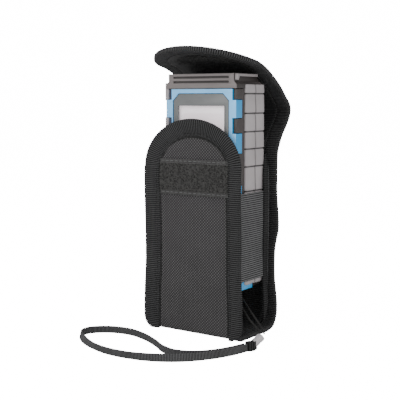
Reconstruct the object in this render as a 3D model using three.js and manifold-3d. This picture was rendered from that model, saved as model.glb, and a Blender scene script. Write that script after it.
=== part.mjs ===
// Pocket laser distance meter standing partly drawn out of a fabric belt pouch, with a wrist strap.
// Millimetres, +Z up. The pouch's front faces -Y. The origin is the centre of the pouch's base,
// on the surface that it stands on.

import * as THREE from 'three';
import { mergeVertices } from 'three/addons/utils/BufferGeometryUtils.js';
import Module from 'manifold-3d';

const wasm = await Module();
wasm.setup();

// ---------------------------------------------------------------- driving dimensions

const GAP = 0.3; // between pieces that touch
const CUT = 1; // how far a cutting tool runs past a face

// pouch
const POUCH_HALF_WIDTH = 33;
const BINDING_WIDTH = 9.5; // binding tape, as seen from the front
const CLOTH = 3; // coated cloth with its binding, base and back
const FRONT_Y = -19; // outer face of the front panel
const FRONT_CLOTH = 2.4;
const FRONT_BINDING = 3.4;
const ARCH_SPRING_Z = 96;
const ARCH_TOP_Z = 124;
const CORNER_RADIUS = 8;
const LOOP_STRIP = { bottom: 81, top: 101, thickness: 1.2 };
const ELASTIC = { bottom: 30.5, top: 82.5, thickness: 1.4, rightX: 28.2, leftX: -24.8, frontY: -15.9, backY: 15.9 };
const BELT_LOOP = { halfWidth: 19, thickness: 1.6 };

// the creases that the back and flap fold at, as y and z, and where the arched tip folds down
const LOWER_CREASE = new THREE.Vector2(20.6, 106.5);
const UPPER_CREASE = new THREE.Vector2(35.4, 128.6);
const TIP_FOLD = new THREE.Vector2(-1, 156.9);
const FOLD_CLEARANCE = 2;
const TIP_LENGTH = 28.6;
const TIP_RISE = 0.28; // radians

// instrument
const BODY = { offsetX: 3, raised: 27, height: 122.3, halfWidth: 24, frontY: -14, backY: 16 };
const SHELL_HALF_WIDTH = 21.5;
const WALL = 1.6;
const PARTING_Y = -7.8; // between the front frame and the rear shell
const CAP_BOTTOM = 114;
const ARMOUR = { frontY: -4.6, backY: 15.4, outerX: 24.7, bottom: 5.6 };
const ARMOUR_SEAMS = [16, 29, 42, 56, 70, 80, 89.7, 100, 111];
const SIDE_TABS = [[22, 32], [50, 60], [78, 89], [97.7, 107.6]]; // heights of the frame's side tabs
const PLATE = { halfWidth: 19, bottom: 7, top: 111, chamfer: 4, frontY: -13.7, thickness: 1.6 };
const SCREEN = { halfWidth: 15.9, bottom: 66, top: 104.3 };
const OPTICS_Y = 1;
const LASER = { x: -11, radius: 3.2 };
const RECEIVER = { x: 8, radius: 7.2 };
const BAY = { halfWidth: 12.6, bottom: 8, top: 60, frontY: 3.2 };
const COVER = { halfWidth: 14.4, top: 62.6, thickness: 1.4 };
const CELL = { radius: 5.25, length: 44.5, x: 5.6, y: 9, bottom: 11.2 };
const KEY = { proud: 1, thickness: 3.4, columns: [-11.5, 0, 11.5], rows: [51, 37, 24] };
const SCREW = { x: 17.8, heights: [13, 104], head: 2.2, shank: 1.1 };
const LUG = { x: 21.5, y: -9, radius: 2.3, wire: 0.7 };

// wrist strap
const WEBBING = { width: 4.5, thickness: 1.1 };
const STRING_RADIUS = 0.5;
const CRIMP = { start: new THREE.Vector3(49, -19.5, 8.4), end: new THREE.Vector3(46.6, -24.6, 3.9), width: 4.6, depth: 3.6 };
const FOLD = { length: 4.2, width: 3.6, height: 4.2, x: 45.7, y: -28.2, heading: -2.0 };

// The webbing stands on its edge on the floor: out from the crimp, round the left end and back.
const WEBBING_ROUTE = [
  [45.6, -31.2], [43, -42], [37.4, -54.5], [28.5, -66], [17, -73.8], [2, -78.5], [-14, -78.4], [-29, -73.5],
  [-41.5, -65.8], [-48.3, -59], [-48.6, -51.5], [-41, -44], [-28, -41], [-14, -44.6], [-1, -51.4], [10, -58.6],
  [20, -61.6], [29.6, -58.4], [36.8, -50.2], [41.2, -40.4], [43.6, -31],
];
// The string runs from the crimp up through the lug and back, as two strands.
const STRING_ROUTE = [
  [49.9, -18.3, 9.5], [44.5, -16.4, 12.6], [38, -13.4, 16.2], [31.5, -9.6, 20], [27.6, -7.4, 22.4], [25.4, -7.2, 23.6],
  [24.5, -9, 23.9], [25.4, -10.8, 23.2], [27.6, -11.2, 21.7], [31.6, -13, 18], [37.8, -16.2, 13.8], [43.8, -18.4, 11.2],
  [48.4, -19.1, 9.7],
];

// ---------------------------------------------------------------- materials

const plastic = (colour, roughness = 0.5) => new THREE.MeshStandardMaterial({ color: colour, roughness, metalness: 0 });
const metal = (colour, roughness = 0.35) => new THREE.MeshStandardMaterial({ color: colour, roughness, metalness: 1 });
const MATERIAL = {
  cloth: plastic(0x464446, 0.9),
  binding: plastic(0x232425, 0.85),
  loop: plastic(0x3c3c39, 1),
  hook: plastic(0x2c2c2c, 0.9),
  elastic: plastic(0x555557, 0.9),
  webbing: plastic(0x555555, 0.8),
  string: plastic(0x1d1a18, 0.8),
  crimp: plastic(0xafaaac, 0.4),
  dark: plastic(0x37302e, 0.55),
  blue: plastic(0x4aa3d8, 0.4),
  cap: plastic(0x7d7674, 0.5),
  armour: plastic(0xa59ea0, 0.7),
  trim: plastic(0xbcb8b8, 0.4),
  plate: plastic(0x808282, 0.35),
  glass: new THREE.MeshStandardMaterial({ color: 0xdfe6ea, roughness: 0.05, metalness: 0 }),
  screen: plastic(0xded6da, 0.3),
  rubber: plastic(0x3a3c3e, 0.7),
  accent: plastic(0xc9482f, 0.5),
  board: plastic(0x1f5a37, 0.6),
  brass: metal(0xb9924c),
  steel: metal(0xb0b2b4),
  cell: plastic(0x2b5d8c, 0.4),
};

// ---------------------------------------------------------------- geometry helpers

const AXES = {
  x: new THREE.Matrix4().makeBasis(new THREE.Vector3(0, 1, 0), new THREE.Vector3(0, 0, 1), new THREE.Vector3(1, 0, 0)),
  y: new THREE.Matrix4().makeBasis(new THREE.Vector3(0, 0, 1), new THREE.Vector3(1, 0, 0), new THREE.Vector3(0, 1, 0)),
  z: new THREE.Matrix4(),
};

/** Extrudes an outline along x (outline in y, z), y (outline in z, x) or z (outline in x, y). */
function prism(outline, axis, from, to, segments = 8) {
  const geometry = new THREE.ExtrudeGeometry(outline, { depth: to - from, bevelEnabled: false, curveSegments: segments });
  return geometry.translate(0, 0, from).applyMatrix4(AXES[axis]);
}

/** A box between two corners. */
function box(x0, x1, y0, y1, z0, z1) {
  const geometry = new THREE.BoxGeometry(x1 - x0, y1 - y0, z1 - z0);
  return geometry.translate((x0 + x1) / 2, (y0 + y1) / 2, (z0 + z1) / 2);
}

/** A cylinder along an axis, centred on (x, y, z) across it, between two stations along it. */
function rod(axis, radius, across, from, to, sides = 24) {
  const outline = new THREE.Shape();
  outline.absarc(across[0], across[1], radius, 0, 2 * Math.PI);
  return prism(outline, axis, from, to, sides / 2);
}

function polygon(points) {
  return new THREE.Shape(points.map(([u, v]) => new THREE.Vector2(u, v)));
}

/** A rectangle with round corners, between two corners. */
function roundedRectangle(u0, u1, v0, v1, radius) {
  const outline = new THREE.Shape();
  outline.absarc(u0 + radius, v0 + radius, radius, Math.PI, 1.5 * Math.PI);
  outline.absarc(u1 - radius, v0 + radius, radius, 1.5 * Math.PI, 2 * Math.PI);
  outline.absarc(u1 - radius, v1 - radius, radius, 0, 0.5 * Math.PI);
  outline.absarc(u0 + radius, v1 - radius, radius, 0.5 * Math.PI, Math.PI);
  return outline;
}

/** Turns a closed geometry into a solid for joining and cutting. */
function solid(geometry) {
  const bare = geometry.clone();
  bare.deleteAttribute('normal');
  bare.deleteAttribute('uv');
  const merged = mergeVertices(bare, 1e-4);
  return new wasm.Manifold(new wasm.Mesh({
    numProp: 3,
    vertProperties: new Float32Array(merged.attributes.position.array),
    triVerts: new Uint32Array(merged.index.array),
  }));
}

/** Joins the added geometries to the first one, then cuts the removed ones away. */
function carve(base, { added = [], removed = [] }) {
  let result = solid(base);
  for (const geometry of added) result = result.add(solid(geometry));
  for (const geometry of removed) result = result.subtract(solid(geometry));
  const { vertProperties, triVerts } = result.getMesh();
  const geometry = new THREE.BufferGeometry();
  geometry.setAttribute('position', new THREE.BufferAttribute(new Float32Array(vertProperties), 3));
  geometry.setIndex(new THREE.BufferAttribute(new Uint32Array(triVerts), 1));
  geometry.computeVertexNormals();
  return geometry;
}

/** The outline of a bent sheet: a centreline given both sides, with mitred bends and square ends. */
function ribbonOutline(centreline, thickness) {
  const sides = [[], []];
  centreline.forEach((point, i) => {
    const before = point.clone().sub(centreline[Math.max(i - 1, 0)]);
    const after = centreline[Math.min(i + 1, centreline.length - 1)].clone().sub(point);
    if (i === 0) before.copy(after);
    if (i === centreline.length - 1) after.copy(before);
    const normal = before.normalize().add(after.normalize()).normalize();
    const reach = thickness / 2 / Math.max(normal.dot(after), 0.5);
    normal.set(-normal.y, normal.x).multiplyScalar(reach);
    sides[0].push(point.clone().add(normal));
    sides[1].push(point.clone().sub(normal));
  });
  return new THREE.Shape([...sides[1], ...sides[0].reverse()]);
}

/** A bent sheet: the ribbon of a centreline in y and z, extruded across x. */
function ribbon(centreline, thickness, x0, x1) {
  return prism(ribbonOutline(centreline, thickness), 'x', x0, x1);
}

function splinePoints(points, count) {
  return new THREE.SplineCurve(points.map(([u, v]) => new THREE.Vector2(u, v))).getSpacedPoints(count);
}

/** A cord: a section of few sides swept along a smooth route. */
function sweep(section, route, steps, curveSegments = 1) {
  const path = new THREE.CatmullRomCurve3(route, false, 'centripetal');
  return new THREE.ExtrudeGeometry(section, { steps, bevelEnabled: false, extrudePath: path, curveSegments });
}

const root = new THREE.Group();

function add(name, geometry, material, parent = root) {
  const mesh = new THREE.Mesh(geometry, material);
  mesh.name = name;
  parent.add(mesh);
  return mesh;
}

// ---------------------------------------------------------------- pouch

const BINDING_INNER_X = POUCH_HALF_WIDTH - BINDING_WIDTH;
const ARCH_INNER_TOP = ARCH_TOP_Z - BINDING_WIDTH;

/** Traces one side of the front, from the base up over the arch, as outline points in z and x. */
function archSide(outline, halfWidth, topZ, start, end, clockwise) {
  outline.absellipse(ARCH_SPRING_Z, 0, topZ - ARCH_SPRING_Z, halfWidth, start, end, clockwise);
}

function frontPanelOutline() {
  const halfWidth = BINDING_INNER_X - GAP;
  const outline = new THREE.Shape();
  outline.moveTo(0, -halfWidth);
  outline.lineTo(ARCH_SPRING_Z, -halfWidth);
  archSide(outline, halfWidth, ARCH_INNER_TOP - GAP, -Math.PI / 2, Math.PI / 2, false);
  outline.lineTo(0, halfWidth);
  return outline;
}

function frontBindingOutline() {
  const outline = new THREE.Shape();
  outline.moveTo(0, -BINDING_INNER_X);
  outline.lineTo(ARCH_SPRING_Z, -BINDING_INNER_X);
  archSide(outline, BINDING_INNER_X, ARCH_INNER_TOP, -Math.PI / 2, Math.PI / 2, false);
  outline.lineTo(0, BINDING_INNER_X);
  outline.absarc(CORNER_RADIUS, POUCH_HALF_WIDTH - CORNER_RADIUS, CORNER_RADIUS, Math.PI, Math.PI / 2, true);
  archSide(outline, POUCH_HALF_WIDTH, ARCH_TOP_Z, Math.PI / 2, -Math.PI / 2, true);
  outline.absarc(CORNER_RADIUS, CORNER_RADIUS - POUCH_HALF_WIDTH, CORNER_RADIUS, -Math.PI / 2, -Math.PI, true);
  return outline;
}

function addFront() {
  const bindingY = FRONT_Y + (FRONT_CLOTH - FRONT_BINDING) / 2;
  add('front_panel', prism(frontPanelOutline(), 'y', FRONT_Y, FRONT_Y + FRONT_CLOTH, 24), MATERIAL.cloth);
  add('front_binding', prism(frontBindingOutline(), 'y', bindingY, bindingY + FRONT_BINDING, 16), MATERIAL.binding);
  const halfWidth = BINDING_INNER_X - 1.3;
  const back = FRONT_Y - GAP;
  const strip = box(-halfWidth, halfWidth, back - LOOP_STRIP.thickness, back, LOOP_STRIP.bottom, LOOP_STRIP.top);
  add('loop_strip', strip, MATERIAL.loop);
}

/** Centreline of the base and back: flat under the instrument, then up the back to the lower crease. */
function spineCentreline() {
  const base = [new THREE.Vector2(FRONT_Y + FRONT_CLOTH + GAP + 0.4, CLOTH / 2)];
  const back = splinePoints([
    [13, CLOTH / 2], [18, 3.2], [20.9, 8], [21.2, 14], [19.8, 22], [18, 31], [18, 47], [19.6, 53], [22, 59],
    [21.6, 68], [20, 78], [19.6, 95], [LOWER_CREASE.x - 0.5, LOWER_CREASE.y - FOLD_CLEARANCE],
  ], 26);
  return [...base, ...back];
}

/** Adds the cloth of a stretch of the strip, and the binding along both its edges. */
function addStrip(clothName, bindingName, centreline) {
  const inner = BINDING_INNER_X;
  add(clothName, ribbon(centreline, CLOTH, GAP - inner, inner - GAP), MATERIAL.cloth);
  add(`${bindingName}_left`, ribbon(centreline, CLOTH, -POUCH_HALF_WIDTH, -inner), MATERIAL.binding);
  add(`${bindingName}_right`, ribbon(centreline, CLOTH, inner, POUCH_HALF_WIDTH), MATERIAL.binding);
}

/** The bound strip between the two creases, leaning back. */
function addNeck() {
  const centreline = splinePoints([
    [LOWER_CREASE.x + 1.2, LOWER_CREASE.y + FOLD_CLEARANCE + 0.4], [25.5, 115], [30.5, 120.8],
    [UPPER_CREASE.x - 1, UPPER_CREASE.y - FOLD_CLEARANCE],
  ], 8);
  add('spine_neck', ribbon(centreline, CLOTH, -POUCH_HALF_WIDTH, POUCH_HALF_WIDTH), MATERIAL.cloth);
}

function addElastics() {
  for (const [side, x] of [['left', ELASTIC.leftX], ['right', ELASTIC.rightX]]) {
    const band = box(x, x + ELASTIC.thickness, ELASTIC.frontY, ELASTIC.backY, ELASTIC.bottom, ELASTIC.top);
    add(`elastic_${side}`, band, MATERIAL.elastic);
  }
}

function addBeltLoop() {
  const centreline = splinePoints([[22.6, 98], [28.6, 92], [31, 84], [31.4, 74], [30.4, 63], [25.8, 54]], 12);
  add('belt_loop', ribbon(centreline, BELT_LOOP.thickness, -BELT_LOOP.halfWidth, BELT_LOOP.halfWidth), MATERIAL.webbing);
}

// ---------------------------------------------------------------- flap

function flapCentreline() {
  return splinePoints([
    [UPPER_CREASE.x - 0.7, UPPER_CREASE.y + FOLD_CLEARANCE + 0.4], [29.7, 136], [22.5, 142.6], [14, 149], [6, 153.7],
    [TIP_FOLD.x + FOLD_CLEARANCE, TIP_FOLD.y - 0.8],
  ], 12);
}

/** The arched end of the flap, flat, in its own frame: x across, -y towards the tip. */
function addFlapTip() {
  const tip = new THREE.Group();
  tip.position.set(0, TIP_FOLD.x, TIP_FOLD.y);
  tip.rotation.x = -TIP_RISE;
  root.add(tip);
  const start = -FOLD_CLEARANCE;
  const inner = BINDING_INNER_X;
  const band = new THREE.Shape();
  band.moveTo(-POUCH_HALF_WIDTH, start);
  band.absellipse(0, start, POUCH_HALF_WIDTH, TIP_LENGTH - FOLD_CLEARANCE, Math.PI, 2 * Math.PI);
  band.absellipse(0, start, inner, TIP_LENGTH - FOLD_CLEARANCE - BINDING_WIDTH, 2 * Math.PI, Math.PI, true);
  const panel = new THREE.Shape();
  panel.absellipse(0, start, inner - GAP, TIP_LENGTH - FOLD_CLEARANCE - BINDING_WIDTH - GAP, Math.PI, 2 * Math.PI);
  add('flap_tip_binding', prism(band, 'z', -CLOTH / 2, CLOTH / 2, 16), MATERIAL.binding, tip);
  add('flap_tip_panel', prism(panel, 'z', -CLOTH / 2, CLOTH / 2, 16), MATERIAL.cloth, tip);
  const patchTop = -CLOTH / 2 - GAP;
  const patch = new THREE.Shape();
  patch.absellipse(0, start - 1, inner - 6, TIP_LENGTH - BINDING_WIDTH - 6, Math.PI, 2 * Math.PI);
  add('hook_patch', prism(patch, 'z', patchTop - 1, patchTop, 10), MATERIAL.hook, tip);
}

// ---------------------------------------------------------------- instrument

const instrument = new THREE.Group();
instrument.position.set(BODY.offsetX, 0, BODY.raised);

function addRearShell() {
  const outer = prism(roundedRectangle(-SHELL_HALF_WIDTH, SHELL_HALF_WIDTH, PARTING_Y + GAP, BODY.backY, 1.2), 'z', 0, CAP_BOTTOM - GAP, 3);
  const inside = SHELL_HALF_WIDTH - WALL;
  const cavity = box(-inside, inside, PARTING_Y - CUT, BODY.backY - 3.2, WALL, CAP_BOTTOM - GAP - WALL);
  const bayWall = box(-BAY.halfWidth - 1.4, BAY.halfWidth + 1.4, BAY.frontY - 1.4, BODY.backY - 2, BAY.bottom - 1.4, BAY.top + 1.4);
  const bay = box(-BAY.halfWidth, BAY.halfWidth, BAY.frontY, BODY.backY + CUT, BAY.bottom, BAY.top);
  const recess = box(-COVER.halfWidth - GAP, COVER.halfWidth + GAP, BODY.backY - COVER.thickness - GAP, BODY.backY + CUT, -CUT, COVER.top + GAP);
  const holes = [
    rod('z', LASER.radius + GAP, [LASER.x, OPTICS_Y], CAP_BOTTOM - 5, CAP_BOTTOM),
    rod('z', RECEIVER.radius + GAP, [RECEIVER.x, OPTICS_Y], CAP_BOTTOM - 5, CAP_BOTTOM),
  ];
  for (const height of SCREW.heights) {
    for (const x of [-SCREW.x, SCREW.x]) {
      holes.push(rod('y', SCREW.head + GAP, [height, x], BODY.backY - 1.8, BODY.backY + CUT, 16));
      holes.push(rod('y', SCREW.shank + GAP, [height, x], BODY.backY - 6, BODY.backY, 12));
    }
  }
  const hollow = carve(outer, { removed: [cavity] });
  add('rear_shell', carve(hollow, { added: [bayWall], removed: [bay, recess, ...holes] }), MATERIAL.dark, instrument);
}

function keyOutline(row, column, grow = 0) {
  const z = KEY.rows[row];
  const x = KEY.columns[column];
  const big = row === 0 && column === 1;
  const halfX = (big ? 5.6 : 4.3) + grow;
  const halfZ = (big ? 5.6 : 3.9) + grow;
  return roundedRectangle(z - halfZ, z + halfZ, x - halfX, x + halfX, (big ? 5 : 2.2) + grow);
}

function forEachKey(visit) {
  KEY.rows.forEach((z, row) => KEY.columns.forEach((x, column) => visit(row, column)));
}

function plateOutline(grow = 0) {
  const { bottom, top, chamfer } = PLATE;
  const half = PLATE.halfWidth + grow;
  const z0 = bottom - grow;
  const z1 = top + grow;
  return polygon([[z0, -half], [z1 - chamfer, -half], [z1, chamfer - half], [z1, half - chamfer], [z1 - chamfer, half], [z0, half]]);
}

function addFrontFrame() {
  const outer = box(-SHELL_HALF_WIDTH, SHELL_HALF_WIDTH, BODY.frontY, PARTING_Y, 0, CAP_BOTTOM - GAP);
  const inside = SHELL_HALF_WIDTH - WALL;
  const cavity = box(-inside, inside, PLATE.frontY + PLATE.thickness, PARTING_Y + CUT, WALL, CAP_BOTTOM - GAP - WALL);
  const window = prism(plateOutline(GAP), 'y', BODY.frontY - CUT, PLATE.frontY + PLATE.thickness + CUT);
  const added = [];
  for (const side of [-1, 1]) {
    const near = side * (SHELL_HALF_WIDTH - 1);
    const clear = side * (SHELL_HALF_WIDTH + GAP);
    const far = side * BODY.halfWidth;
    for (const [z0, z1] of [[0, 5], ...SIDE_TABS]) {
      added.push(box(Math.min(near, far), Math.max(near, far), BODY.frontY, PARTING_Y, z0, z1));
    }
    added.push(box(Math.min(clear, far), Math.max(clear, far), PARTING_Y - 1, 4, 0, 5));
  }
  add('front_frame', carve(outer, { added, removed: [cavity, window] }), MATERIAL.blue, instrument);
}

function addSides() {
  const inner = SHELL_HALF_WIDTH + GAP;
  const outer = BODY.halfWidth - 0.1;
  for (const [name, side] of [['left', -1], ['right', 1]]) {
    const span = (a, b) => [Math.min(side * a, side * b), Math.max(side * a, side * b)];
    const rail = box(...span(inner, outer), BODY.frontY + 0.8, ARMOUR.frontY - GAP, 5 + GAP, CAP_BOTTOM - GAP);
    const notches = SIDE_TABS.map(([z0, z1]) => (
      box(...span(inner - CUT, outer + CUT), BODY.frontY - CUT, PARTING_Y + GAP, z0 - GAP, z1 + GAP)
    ));
    add(`side_rail_${name}`, carve(rail, { removed: notches }), MATERIAL.dark, instrument);
    const strip = box(...span(inner, ARMOUR.outerX), ARMOUR.frontY, ARMOUR.backY, ARMOUR.bottom, CAP_BOTTOM - GAP);
    const seams = ARMOUR_SEAMS.map((z) => (
      box(...span(ARMOUR.outerX - 0.5, ARMOUR.outerX + CUT), ARMOUR.frontY - CUT, ARMOUR.backY + CUT, z - 0.3, z + 0.3)
    ));
    const heel = box(...span(inner - CUT, ARMOUR.outerX + CUT), ARMOUR.frontY - CUT, 4 + GAP, 0, ARMOUR.bottom);
    add(`armour_${name}`, carve(strip, { removed: [...seams, heel] }), MATERIAL.armour, instrument);
  }
}

/** The cap: shoulders that step in to a narrower crown, sloped at the back, with two front grooves. */
function addTopCap() {
  const shoulder = 2.4;
  const crown = BODY.halfWidth - 1.6;
  const H = BODY.height;
  const front = polygon([
    [CAP_BOTTOM, -BODY.halfWidth], [CAP_BOTTOM + shoulder, -BODY.halfWidth], [CAP_BOTTOM + shoulder + 1.6, -crown], [H, -crown],
    [H, crown], [CAP_BOTTOM + shoulder + 1.6, crown], [CAP_BOTTOM + shoulder, BODY.halfWidth], [CAP_BOTTOM, BODY.halfWidth],
  ]);
  const block = prism(front, 'y', BODY.frontY, BODY.backY);
  const slope = prism(polygon([[8, H], [8, H + CUT], [BODY.backY + CUT, H + CUT], [BODY.backY + CUT, H - 8.3]]), 'x', -30, 30);
  const grooves = [117.6, 120.2].map((z) => box(-19, 19, BODY.frontY - CUT, BODY.frontY + 0.8, z - 0.6, z + 0.6));
  const holes = [LASER, RECEIVER].map(({ x, radius }) => rod('z', radius + GAP, [x, OPTICS_Y], CAP_BOTTOM - CUT, H + CUT));
  add('top_cap', carve(block, { removed: [slope, ...grooves, ...holes] }), MATERIAL.cap, instrument);
  const legTop = H - 0.2;
  const outline = polygon([[-13.4, 118.6], [-12, 118.6], [-11, 120.6], [8, 120.6], [8, legTop], [-13.4, legTop]]);
  for (const [name, side] of [['left', -1], ['right', 1]]) {
    const a = side * (crown + GAP);
    const b = side * (BODY.halfWidth + 0.6);
    add(`cap_trim_${name}`, prism(outline, 'x', Math.min(a, b), Math.max(a, b)), MATERIAL.trim, instrument);
  }
  const windowTop = H - 0.8;
  add('laser_window', rod('z', LASER.radius, [LASER.x, OPTICS_Y], windowTop - 1.2, windowTop), MATERIAL.glass, instrument);
  const lens = [[0, 0], [RECEIVER.radius, 0], [RECEIVER.radius, 1], [RECEIVER.radius * 0.7, 1.7], [0, 2]];
  const receiverLens = new THREE.LatheGeometry(lens.map(([r, z]) => new THREE.Vector2(r, z)), 24);
  receiverLens.rotateX(Math.PI / 2).translate(RECEIVER.x, OPTICS_Y, windowTop - 2.4);
  add('receiver_lens', receiverLens, MATERIAL.glass, instrument);
  add('laser_module', rod('z', LASER.radius, [LASER.x, OPTICS_Y], 88, windowTop - 1.2 - GAP), MATERIAL.brass, instrument);
  add('receiver_tube', rod('z', RECEIVER.radius, [RECEIVER.x, OPTICS_Y], 84, windowTop - 2.4 - GAP), MATERIAL.rubber, instrument);
}

function addFace() {
  const { frontY, thickness } = PLATE;
  const back = frontY + thickness;
  const screenHole = box(-SCREEN.halfWidth, SCREEN.halfWidth, frontY - CUT, back + CUT, SCREEN.bottom, SCREEN.top);
  const keyHoles = [];
  forEachKey((row, column) => keyHoles.push(prism(keyOutline(row, column, GAP), 'y', frontY - CUT, back + CUT, 5)));
  const plate = carve(prism(plateOutline(), 'y', frontY, back), { removed: [screenHole, ...keyHoles] });
  add('face_plate', plate, MATERIAL.plate, instrument);
  const half = SCREEN.halfWidth - GAP;
  const pane = box(-half, half, frontY + 0.2, back - 0.2, SCREEN.bottom + GAP, SCREEN.top - GAP);
  add('display_window', pane, MATERIAL.glass, instrument);
  add('lcd_panel', box(-half - 1, half + 1, back + GAP, back + 1.9, SCREEN.bottom - 1, SCREEN.top + 2), MATERIAL.screen, instrument);
}

const KEY_NAMES = [
  ['button_plus', 'button_measure', 'button_minus'],
  ['button_area', 'button_reference', 'button_timer'],
  ['button_units', 'button_memory', 'button_power'],
];

function addKeys() {
  const front = PLATE.frontY - KEY.proud;
  forEachKey((row, column) => {
    const key = prism(keyOutline(row, column), 'y', front, front + KEY.thickness, 5);
    add(KEY_NAMES[row][column], key, row === 0 && column === 1 ? MATERIAL.accent : MATERIAL.rubber, instrument);
  });
  const mat = front + KEY.thickness + 1.2;
  add('keypad_mat', box(-17.5, 17.5, mat, mat + 1, 15, 60), MATERIAL.rubber, instrument);
  const board = mat + 1 + GAP;
  add('main_board', box(-19, 19, board, board + 1.2, 5, 109), MATERIAL.board, instrument);
  add('buzzer', rod('y', 5, [72, -12], board + 1.2 + GAP, board + 4.4), MATERIAL.rubber, instrument);
}

function addBattery() {
  const coverFace = BODY.backY;
  const grips = [50, 53, 56].map((z) => box(-7, 7, coverFace - 0.5, coverFace + CUT, z - 0.6, z + 0.6));
  const cover = box(-COVER.halfWidth, COVER.halfWidth, coverFace - COVER.thickness, coverFace, GAP, COVER.top);
  add('battery_cover', carve(cover, { removed: grips }), MATERIAL.dark, instrument);
  for (const [name, side] of [['left', -1], ['right', 1]]) {
    const up = side > 0;
    const nub = 1;
    const bodyFrom = CELL.bottom + (up ? 0 : nub);
    const at = [side * CELL.x, CELL.y];
    const body = rod('z', CELL.radius, at, bodyFrom, bodyFrom + CELL.length - nub);
    const nubFrom = up ? bodyFrom + CELL.length - nub - 0.5 : CELL.bottom;
    const cell = carve(body, { added: [rod('z', 1.9, at, nubFrom, nubFrom + nub + 0.5, 12)] });
    add(`battery_cell_${name}`, cell, MATERIAL.cell, instrument);
  }
  addContact('battery_contact_bottom', BAY.bottom + GAP, 1);
  addContact('battery_contact_top', BAY.top - GAP, -1);
}

/** A contact plate with one conical spring on it, rising (1) or hanging (-1) towards the cells. */
function addContact(name, z, direction) {
  const thickness = 0.5;
  const from = direction > 0 ? z : z - thickness;
  const plate = box(-BAY.halfWidth + GAP, BAY.halfWidth - GAP, BAY.frontY + GAP, 13.8, from, from + thickness);
  const reach = direction > 0 ? CELL.bottom - GAP - from : from + thickness - (CELL.bottom + CELL.length + GAP);
  const profile = [[0, 0], [3.6, 0], [2, reach], [0, reach]].map(([r, h]) => new THREE.Vector2(r, h));
  const spring = new THREE.LatheGeometry(profile, 14).rotateX(direction > 0 ? Math.PI / 2 : -Math.PI / 2);
  spring.translate(direction * CELL.x, CELL.y, direction > 0 ? from : from + thickness);
  add(name, carve(plate, { added: [spring] }), MATERIAL.steel, instrument);
}

function addScrewsAndLug() {
  let number = 0;
  for (const z of SCREW.heights) {
    for (const x of [-SCREW.x, SCREW.x]) {
      number += 1;
      const head = rod('y', SCREW.head, [z, x], BODY.backY - 1.5, BODY.backY - 0.4, 16);
      const shank = rod('y', SCREW.shank, [z, x], 2, BODY.backY - 1.4, 12);
      add(`case_screw_${number}`, carve(head, { added: [shank] }), MATERIAL.steel, instrument);
    }
  }
  const lug = new THREE.TorusGeometry(LUG.radius, LUG.wire, 8, 20).rotateX(Math.PI / 2);
  add('lanyard_lug', lug.translate(LUG.x, LUG.y, -GAP - LUG.wire - LUG.radius), MATERIAL.steel, instrument);
}

// ---------------------------------------------------------------- wrist strap

function addStrap() {
  const { width, thickness } = WEBBING;
  const flat = roundedRectangle(-width / 2, width / 2, -thickness / 2, thickness / 2, thickness * 0.4);
  const webbingRoute = WEBBING_ROUTE.map(([x, y]) => new THREE.Vector3(x, y, width / 2 + 0.05));
  add('strap_webbing', sweep(flat, webbingRoute, 64), MATERIAL.webbing);
  const round = new THREE.Shape();
  round.absarc(0, 0, STRING_RADIUS, 0, 2 * Math.PI);
  add('strap_string', sweep(round, STRING_ROUTE.map((point) => new THREE.Vector3(...point)), 36, 4), MATERIAL.string);

  const axis = CRIMP.end.clone().sub(CRIMP.start);
  const section = roundedRectangle(-CRIMP.width / 2, CRIMP.width / 2, -CRIMP.depth / 2, CRIMP.depth / 2, 1);
  const crimp = add('strap_crimp', new THREE.ExtrudeGeometry(section, { depth: axis.length(), bevelEnabled: false, curveSegments: 3 }), MATERIAL.crimp);
  crimp.position.copy(CRIMP.start);
  crimp.quaternion.setFromUnitVectors(new THREE.Vector3(0, 0, 1), axis.normalize());

  const outline = roundedRectangle(-FOLD.length / 2, FOLD.length / 2, -FOLD.width / 2, FOLD.width / 2, 0.8);
  const fold = add('strap_fold', new THREE.ExtrudeGeometry(outline, { depth: FOLD.height, bevelEnabled: false, curveSegments: 3 }), MATERIAL.webbing);
  fold.position.set(FOLD.x, FOLD.y, 0.05);
  fold.rotation.z = FOLD.heading;
}

addFront();
addStrip('spine_panel', 'spine_binding', spineCentreline());
addNeck();
addElastics();
addBeltLoop();
addStrip('flap_panel', 'flap_binding', flapCentreline());
addFlapTip();
root.add(instrument);
addRearShell();
addFrontFrame();
addSides();
addTopCap();
addFace();
addKeys();
addBattery();
addScrewsAndLug();
addStrap();

export default root;
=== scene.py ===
import logging
import math
from dataclasses import dataclass, field
from enum import Enum
from typing import Sequence

import bmesh
import bpy
import numpy as np
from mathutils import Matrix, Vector


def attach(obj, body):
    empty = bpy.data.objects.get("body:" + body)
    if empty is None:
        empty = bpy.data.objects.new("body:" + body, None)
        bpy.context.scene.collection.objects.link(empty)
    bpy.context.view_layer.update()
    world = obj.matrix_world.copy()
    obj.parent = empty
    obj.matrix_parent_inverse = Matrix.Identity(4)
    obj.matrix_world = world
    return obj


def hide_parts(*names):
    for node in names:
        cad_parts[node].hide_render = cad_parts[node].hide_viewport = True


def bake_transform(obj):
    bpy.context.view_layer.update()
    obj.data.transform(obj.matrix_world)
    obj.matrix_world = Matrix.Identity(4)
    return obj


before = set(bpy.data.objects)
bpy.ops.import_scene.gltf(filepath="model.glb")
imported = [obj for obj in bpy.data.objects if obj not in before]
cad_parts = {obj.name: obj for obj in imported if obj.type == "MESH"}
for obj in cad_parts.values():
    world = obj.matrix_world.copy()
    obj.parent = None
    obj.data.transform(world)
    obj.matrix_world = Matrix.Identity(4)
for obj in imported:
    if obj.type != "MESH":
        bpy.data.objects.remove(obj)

LOG = logging.getLogger("meter_in_pouch")
MM = 0.001
Array = np.ndarray
Colour = tuple[float, float, float]


# ---------------------------------------------------------------- shader building


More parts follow.
